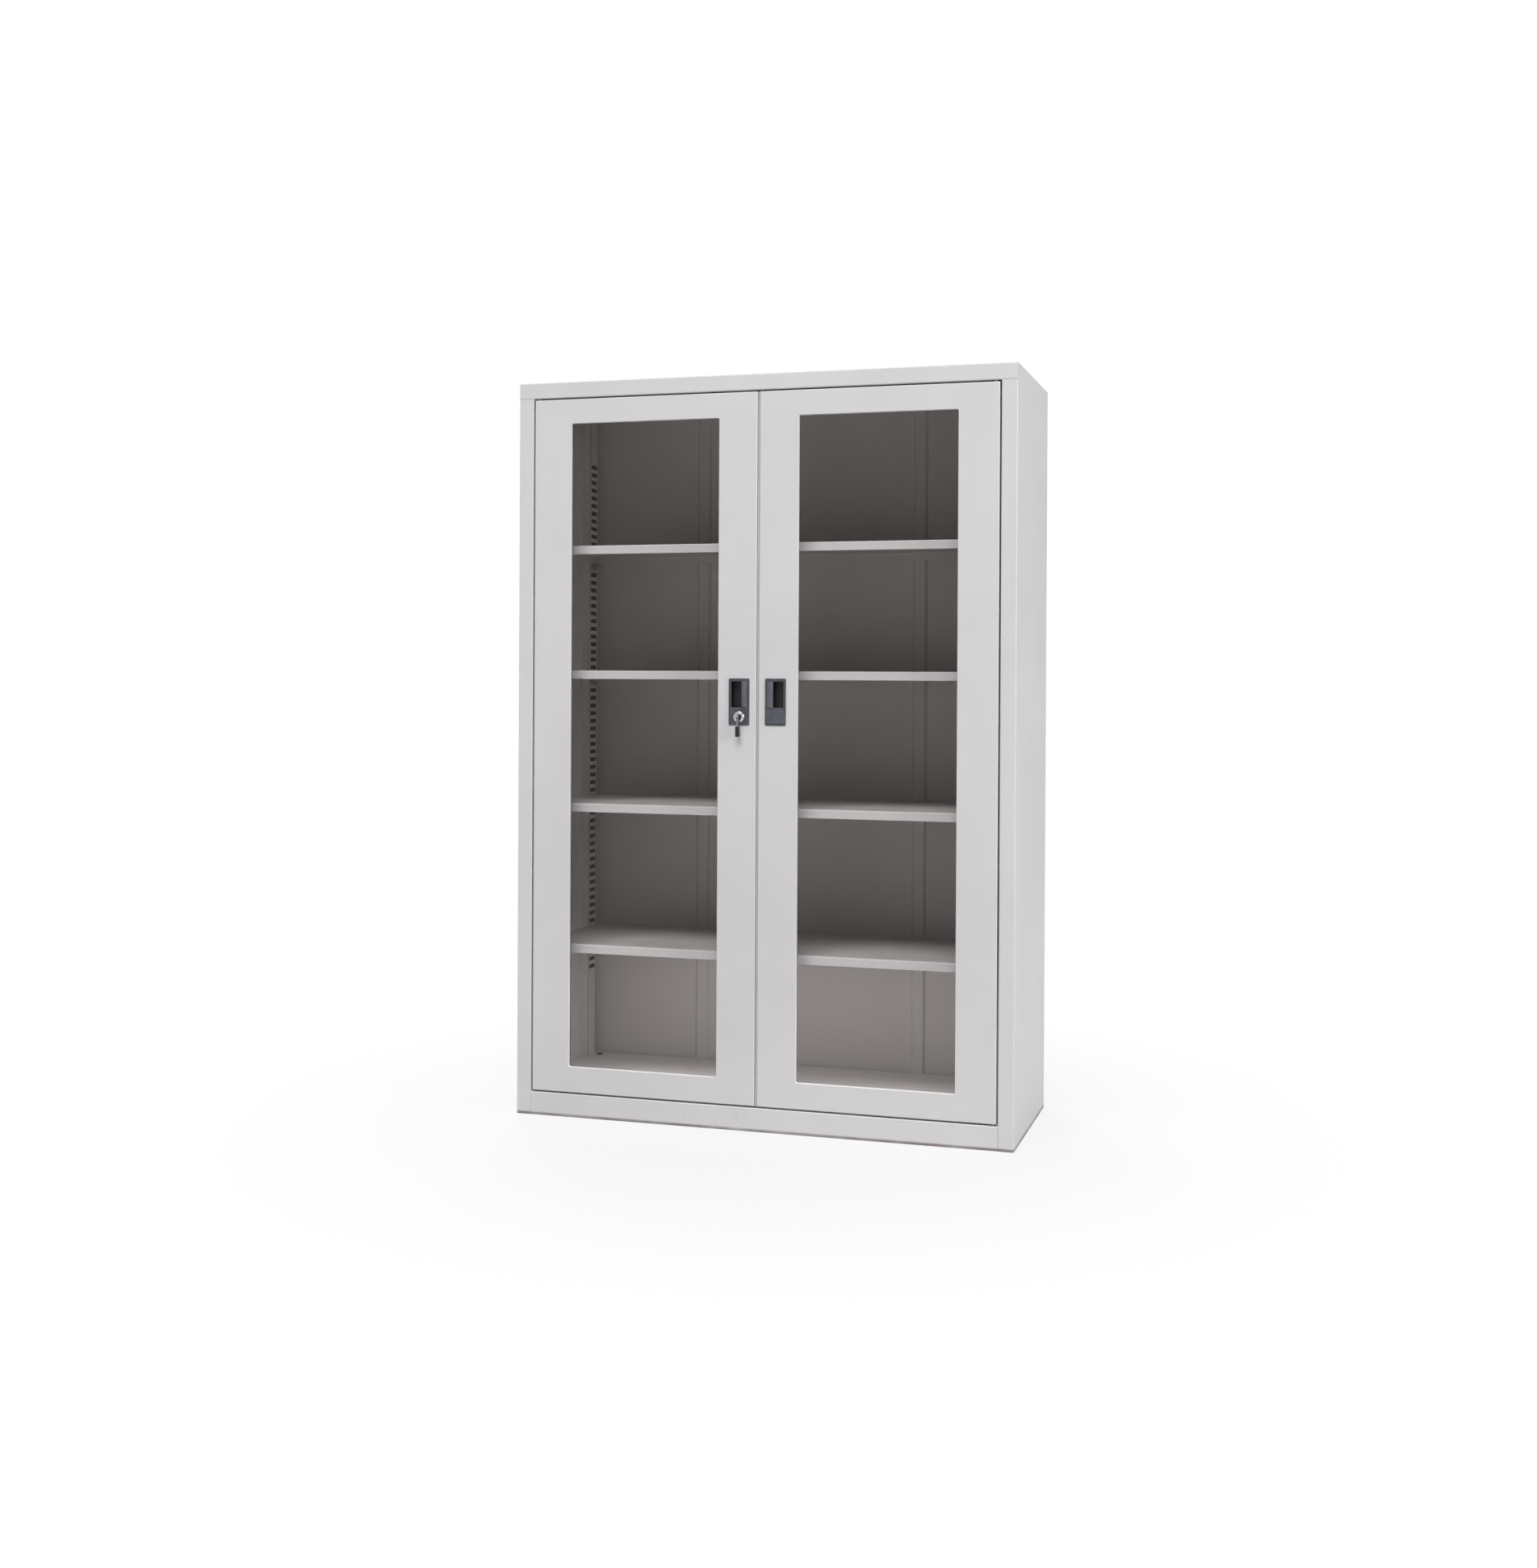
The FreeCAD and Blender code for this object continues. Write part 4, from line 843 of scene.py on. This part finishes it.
# %% Pull lips
# Painted highlight: the lip is coloured paler than the handle around it.
def highlighted_lip_plastic():
    grain = dict(grain_scale=2600.0, grain_depth=0.02 * MM)
    return moulded("highlighted_lip_plastic", srgb(92, 93, 101), srgb(104, 105, 113), rough=0.30, **grain)


def plain_mesh(drawn):
    ready = drawn.evaluated_get(bpy.context.evaluated_depsgraph_get())
    return bpy.data.meshes.new_from_object(ready)


def pull_lip(hand, way, material):
    drawn = lip_curve(hand, way)
    mesh = plain_mesh(drawn)
    bpy.data.objects.remove(drawn)
    mesh.transform(Matrix.Translation((0, 0, (MOUTH_LOW + MOUTH_HIGH) / 2)))
    shape = merged(mesh)
    bmesh.ops.recalc_face_normals(shape, faces=shape.faces)
    written(shape, mesh)
    piece = piece_of(hand + "_pull_lip", mesh)
    dress(piece, hand + "_door", "handle_plastic", material=material)
    return piece


# The pale lip plastic is a painted highlight.
highlighted_lip = highlighted_lip_plastic()
for hand, way in (("left", -1), ("right", 1)):
    piece = pull_lip(hand, way, highlighted_lip)
    print(piece.name, len(piece.data.polygons), "faces")

# %% [markdown]
# What repeats is grown by Geometry Nodes. The places come from the frame: each loose part of
# a node is one island, found by walking from point to point along its edges, and the box of
# an island says where the finer piece goes.

# %% Places of the pieces that repeat
def islands(name):
    shape = merged(nodes[name].data)
    waiting = set(shape.verts)
    found = []
    while waiting:
        to_visit = [waiting.pop()]
        corners = []
        while to_visit:
            vert = to_visit.pop()
            corners.append(tuple(vert.co))
            for edge in vert.link_edges:
                other = edge.other_vert(vert)
                if other in waiting:
                    waiting.remove(other)
                    to_visit.append(other)
        low = Vector([min(along) for along in zip(*corners)])
        high = Vector([max(along) for along in zip(*corners)])
        found.append((low, high))
    shape.free()
    return sorted(found, key=lambda pair: tuple(pair[0]))


nut_nodes = {"left": "left_bead_nuts", "right": "right_bead_nuts"}
clip_nodes = [name for name in nodes if name.endswith("_shelf_clips")]
print("nuts on a door:", len(islands(nut_nodes["left"])))
print("clips under a shelf:", len(islands(clip_nodes[0])))

# %% [markdown]
# A tree gets its sizes through named inputs, which are set on the modifier by identifier
# before it first runs. It plants one shape on every place, makes the copies real, because
# instances are lost on the way out, and sets their finish. The result is turned into a plain
# mesh at once, and the modifier goes.

# %% Geometry tree helpers
def geometry_tree(name, sizes):
    tree = bpy.data.node_groups.new(name, "GeometryNodeTree")
    tree.interface.new_socket("Geometry", in_out="INPUT", socket_type="NodeSocketGeometry")
    for size in sizes:
        tree.interface.new_socket(size, in_out="INPUT", socket_type="NodeSocketFloat")
    tree.interface.new_socket("Geometry", in_out="OUTPUT", socket_type="NodeSocketGeometry")
    graph = Graph(tree)
    places = graph.node("NodeGroupInput")
    outlets = places.link.node.outputs
    return graph, places, {size: Socket(graph, outlets[size]) for size in sizes}


def planted(graph, places, shape, turn, material):
    sockets = {"Points": places, "Instance": shape, "Rotation": turn}
    copies = graph.node("GeometryNodeInstanceOnPoints", sockets=sockets)
    solid = graph.node("GeometryNodeRealizeInstances", sockets={"Geometry": copies})
    sockets = {"Geometry": solid, "Material": material}
    finished = graph.node("GeometryNodeSetMaterial", sockets=sockets)
    graph.node("NodeGroupOutput", sockets={"Geometry": finished})


def grown(name, places, graph, sizes):
    mesh = bpy.data.meshes.new(name)
    mesh.from_pydata(places, [], [])
    piece = piece_of(name, mesh)
    growth = piece.modifiers.new(graph.tree.name, "NODES")
    growth.node_group = graph.tree
    for item in graph.tree.interface.items_tree:
        if item.in_out == "INPUT" and item.name in sizes:
            growth[item.identifier] = sizes[item.name]
    mesh = plain_mesh(piece)
    piece.modifiers.clear()
    piece.data = mesh
    soft_shaded(mesh)
    return piece


def lifted(graph, shape, height):
    rise = graph.node("ShaderNodeCombineXYZ", sockets={"Z": height})
    return graph.node("GeometryNodeTransform", sockets={"Geometry": shape, "Translation": rise})


def swept(graph, path, section):
    sockets = {"Curve": path, "Profile Curve": section, "Fill Caps": True}
    return graph.node("GeometryNodeCurveToMesh", sockets=sockets)


print("geometry helpers ready")

# %% [markdown]
# The glazing beads are clamped by nuts on weld studs, eighteen to a door. Each is a washer, a
# hexagon with its corners turned off, and the end of a threaded stud. Modelled by hand, one
# nut would have to be measured again for every size, so a tree builds it from its sizes. The
# thread is a spiral with a three-sided section, sunk into the stud so that only its ridge
# shows.

# %% A nut on a threaded stud
NUT_SIZES = {
    "Nut radius": 4.0 * MM,
    "Nut height": 2.6 * MM,
    "Washer radius": 4.5 * MM,
    "Washer height": 0.6 * MM,
    "Stud radius": 2.0 * MM,
    "Stud length": 7.0 * MM,
    "Thread pitch": 0.7 * MM,
}
HEXAGON_SHARE, CROWN_SHARE, RIDGE_SHARE = 0.78, 0.86, 0.4
WASHER_SIDES, NUT_SIDES, STUD_SIDES, RIDGE_SIDES = 20, 6, 12, 3
THREAD_STEPS = 12


def drum(graph, sides, radius, height):
    sockets = {"Vertices": sides, "Radius": radius, "Depth": height}
    return graph.node("GeometryNodeMeshCylinder", sockets=sockets)


def washer_and_nut(graph, size):
    nut, tall = size["Nut radius"], size["Nut height"]
    sheet = size["Washer height"]
    ring = drum(graph, WASHER_SIDES, size["Washer radius"], sheet)
    hexagon = drum(graph, NUT_SIDES, nut, tall * HEXAGON_SHARE)
    crown = graph.node(
        "GeometryNodeMeshCone",
        sockets={
            "Vertices": NUT_SIDES,
            "Radius Top": nut * CROWN_SHARE,
            "Radius Bottom": nut,
            "Depth": tall * (1 - HEXAGON_SHARE),
        },
    )
    return [
        lifted(graph, ring, sheet * 0.5),
        lifted(graph, hexagon, sheet + tall * (HEXAGON_SHARE / 2)),
        lifted(graph, crown, sheet + tall * HEXAGON_SHARE),
    ]


def threaded_stud(graph, size):
    sheet, tall = size["Washer height"], size["Nut height"]
    long, pitch = size["Stud length"], size["Thread pitch"]
    ridge_radius = pitch * RIDGE_SHARE
    core_radius = size["Stud radius"] - ridge_radius
    wound = long - sheet - tall - pitch
    winding = graph.node(
        "GeometryNodeCurveSpiral",
        sockets={
            "Resolution": THREAD_STEPS,
            "Rotations": wound / pitch,
            "Start Radius": core_radius,
            "End Radius": core_radius,
            "Height": wound,
        },
    )
    sockets = {"Resolution": RIDGE_SIDES, "Radius": ridge_radius}
    ridge = graph.node("GeometryNodeCurvePrimitiveCircle", sockets=sockets)
    thread = swept(graph, winding, ridge)
    core = drum(graph, STUD_SIDES, core_radius, long)
    return [lifted(graph, core, long * 0.5), lifted(graph, thread, sheet + tall + ridge_radius)]


print("stud thread: pitch", round(NUT_SIZES["Thread pitch"] / MM, 2), "mm")

# %% [markdown]
# On each door the nuts stand on the glazing beads and point to the back, so every nut is
# turned a quarter round and planted where the frame has its plain one.

# %% Nuts on the glazing beads
TO_BACK = (-math.pi / 2, 0, 0)


def nut_tree():
    graph, places, size = geometry_tree("bead_nut_tree", NUT_SIZES)
    stack = washer_and_nut(graph, size) + threaded_stud(graph, size)
    joined = graph.node("GeometryNodeJoinGeometry", sockets={"Geometry": stack})
    planted(graph, places, joined, TO_BACK, finishes["zinc_steel"])
    return graph


bead_nuts = nut_tree()
for hand, node in nut_nodes.items():
    seats = [((low.x + high.x) / 2, low.y, (low.z + high.z) / 2) for low, high in islands(node)]
    piece = grown(hand + "_threaded_nuts", seats, bead_nuts, NUT_SIZES)
    dress(piece, hand + "_door", "zinc_steel", node)
    print(piece.name, len(seats), "nuts")

# %% [markdown]
# Each shelf rests on four clips of bent strip: a hook behind the slot, a tongue through it, a
# leg up the face of the strip and a ledge under the shelf. The tree bends a straight line to
# those corners by index, rounds them with Fillet Curve, and sweeps the strip's section along
# it, as a press would bend the strip. A bevelled block would not have its even thickness.

# %% A clip of bent strip
CLIP_SIZES = {
    "Sheet": 1.5 * MM,
    "Width": 32.0 * MM,
    "Hook": 7.0 * MM,
    "Behind": 3.25 * MM,
    "Rise": 10.0 * MM,
    "Ledge": 16.0 * MM,
    "Bend": 1.3 * MM,
}
BEND_STEPS = 4
ALONG_STRIP = (0.0, 1.0, 0.0)


def clip_corners(size):
    half = size["Sheet"] * 0.5
    back, top = 0 - size["Behind"], size["Rise"] - half
    hook = (back, 0 - size["Hook"] - half)
    return (hook, (back, 0.0), (half, 0.0), (half, top), (size["Ledge"], top))


def bent_line(graph, corners, bend):
    line = graph.node("GeometryNodeCurvePrimitiveLine")
    line = graph.node("GeometryNodeResampleCurve", sockets={"Curve": line, "Count": len(corners)})
    place = graph.node("GeometryNodeIndexSwitch", {"data_type": "VECTOR"})
    chooser = place.link.node
    while len(chooser.index_switch_items) < len(corners):
        chooser.index_switch_items.new()
    graph.tree.links.new(graph.node("GeometryNodeInputIndex").link, chooser.inputs["Index"])
    for number, (across, up) in enumerate(corners, start=1):
        point = graph.node("ShaderNodeCombineXYZ", sockets={"X": across, "Z": up})
        graph.tree.links.new(point.link, chooser.inputs[number])
    path = graph.node("GeometryNodeSetPosition", sockets={"Geometry": line, "Position": place})
    sockets = {"Curve": path, "Count": BEND_STEPS, "Radius": bend, "Limit Radius": True}
    return graph.node("GeometryNodeFilletCurve", {"mode": "POLY"}, sockets)


def bent_clip(graph, size):
    path = bent_line(graph, clip_corners(size), size["Bend"])
    sockets = {"Curve": path, "Normal": ALONG_STRIP}
    path = graph.node("GeometryNodeSetCurveNormal", {"mode": "FREE"}, sockets)
    sockets = {"Width": size["Width"], "Height": size["Sheet"]}
    section = graph.node("GeometryNodeCurvePrimitiveQuadrilateral", sockets=sockets)
    return swept(graph, path, section)


print("clip strip", CLIP_SIZES["Width"] / MM, "by", CLIP_SIZES["Sheet"] / MM, "mm")

# %% [markdown]
# The clips hang in slots of the strips on both side walls. Those on the right wall are turned
# half round, which their place alone decides: where X is above zero, the tree turns them.

# %% Shelf clips
HOOK_REACH = 4.0 * MM


def clip_tree():
    graph, places, size = geometry_tree("shelf_clip_tree", CLIP_SIZES)
    clip = bent_clip(graph, size)
    wall = axis(graph, graph.node("GeometryNodeInputPosition"), "X")
    half_turn = graph.math("GREATER_THAN", wall) * math.pi
    turn = graph.node("ShaderNodeCombineXYZ", sockets={"Z": half_turn})
    planted(graph, places, clip, turn, finishes["zinc_steel"])
    return graph


def clip_seat(low, high):
    face = low.x + HOOK_REACH if low.x < 0 else high.x - HOOK_REACH
    slot_middle = low.z + CLIP_SIZES["Hook"] + CLIP_SIZES["Sheet"] / 2
    return (face, (low.y + high.y) / 2, slot_middle)


seats = [clip_seat(low, high) for name in clip_nodes for low, high in islands(name)]
piece = grown("bent_shelf_clips", seats, clip_tree(), CLIP_SIZES)
dress(piece, "cabinet", slot_of[clip_nodes[0]], *clip_nodes)
print(piece.name, len(seats), "clips")
